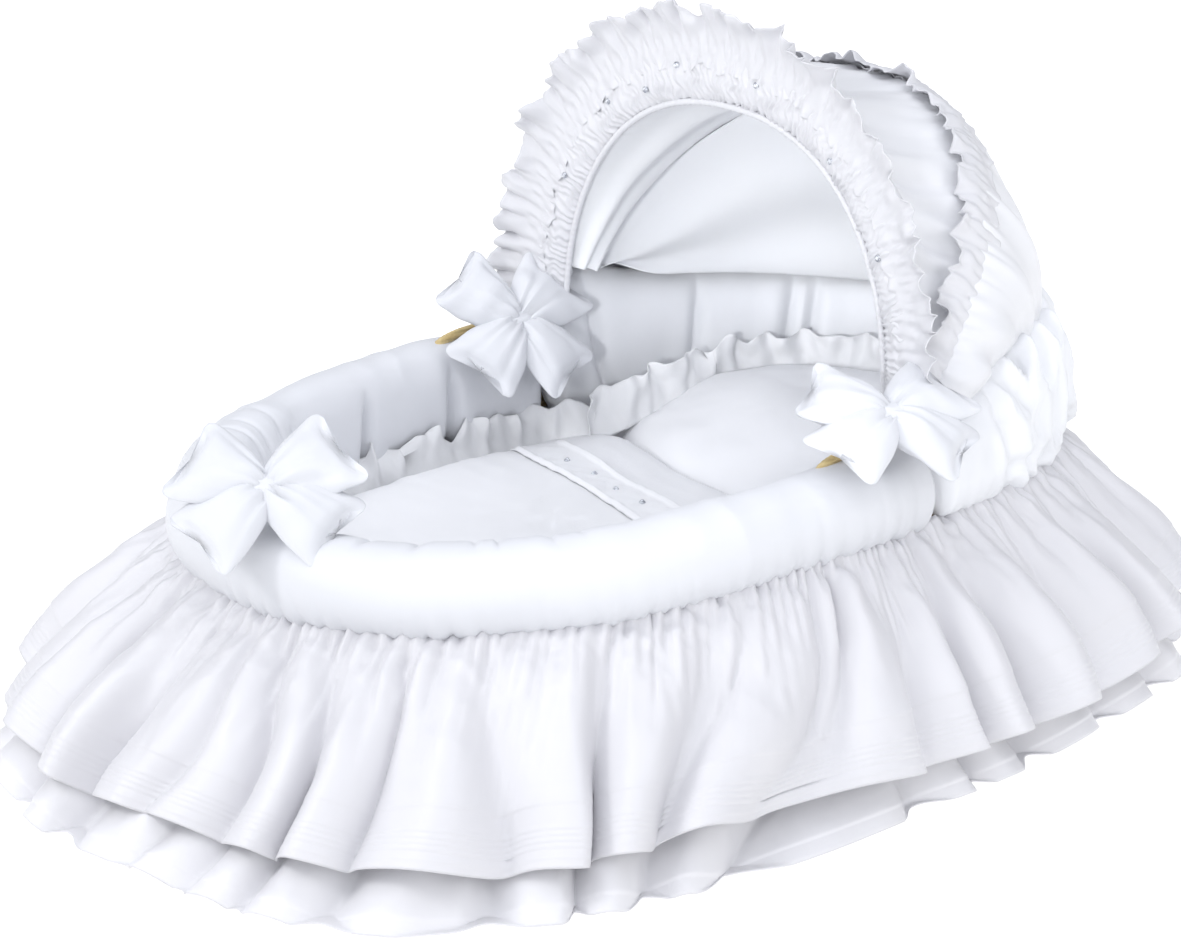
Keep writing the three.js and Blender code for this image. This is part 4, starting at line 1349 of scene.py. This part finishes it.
def soft_box():
    """Studio light from all round: bright from above the foot end, dim from low down and behind."""
    world = bpy.data.worlds.new("studio")
    world.use_nodes = True
    tree = world.node_tree
    direction = tree.nodes.new("ShaderNodeTexCoord").outputs["Generated"]
    towards = tree.nodes.new("ShaderNodeVectorMath")
    towards.operation = "DOT_PRODUCT"
    towards.inputs[1].default_value = Vector((-0.30, -0.20, 0.93)).normalized()
    tree.links.new(direction, towards.inputs[0])
    ramp = tree.nodes.new("ShaderNodeMapRange")
    tree.links.new(towards.outputs["Value"], ramp.inputs["Value"])
    for socket, value in (("From Min", 0), ("From Max", 1), ("To Min", 0.21), ("To Max", 1.66)):
        ramp.inputs[socket].default_value = value
    background = tree.nodes["Background"]
    background.inputs["Color"].default_value = (0.925, 0.945, 1.0, 1)
    tree.links.new(ramp.outputs[0], background.inputs["Strength"])
    return world


def studio_light(kind, name, place_at, target, power, **settings):
    data = bpy.data.lights.new(name, kind)
    data.energy = power
    for setting, value in settings.items():
        setattr(data, setting, value)
    light = bpy.data.objects.new(name, data)
    light.location = place_at
    light.rotation_mode = "QUATERNION"
    light.rotation_quaternion = (Vector(target) - Vector(place_at)).to_track_quat("-Z", "Y")
    bpy.context.scene.collection.objects.link(light)


def make_stage():
    ground = Nodes("floor", (0.30, 0.30, 0.30), 0.8, Emission_Color=(1, 1, 1, 1), Emission_Strength=0.9)
    mesh = bpy.data.meshes.new("floor")
    reach = 30
    corners = [(-reach, -reach, 0), (reach, -reach, 0), (reach, reach, 0), (-reach, reach, 0)]
    mesh.from_pydata(corners, [], [(0, 1, 2, 3)])
    mesh.materials.append(ground.material)
    floor = bpy.data.objects.new("floor", mesh)
    bpy.context.scene.collection.objects.link(floor)
    bpy.context.scene.world = soft_box()
    # A narrow beam into the hood, which the light from all round leaves too dark inside.
    into_hood = {"spot_size": math.radians(9), "spot_blend": 0.7}
    into_hood |= {"shadow_soft_size": 0.2, "color": (0.97, 0.98, 1)}
    studio_light("SPOT", "hood_fill", (-2.25, -1.5, 0.9), (0.25, 0.05, 0.33), 205, **into_hood)
    studio_light("AREA", "key", (-2.2, 0.6, 1.8), LOOK_AT, 15, shape="DISK", size=0.6)
    studio_light("AREA", "fill", (0.6, -2.8, 0.9), LOOK_AT, 9, shape="DISK", size=1.2)
    bpy.context.scene.view_settings.view_transform = "Standard"


make_camera()
make_stage()
make_skirt()
make_seam_binding()
make_roll()
make_head_pouf()
make_lower_lining()
make_grips()
make_mattress()
quilt = make_coverlet()
make_pillow()
make_coverlet_band(quilt)
make_bedding_frills()
make_front_band()
make_hood_frills()
make_canopy()
make_hood_lining()
make_hood_back()
make_inner_swag()
for number, side in enumerate(("foot", "left", "right")):
    make_bow(side, number)
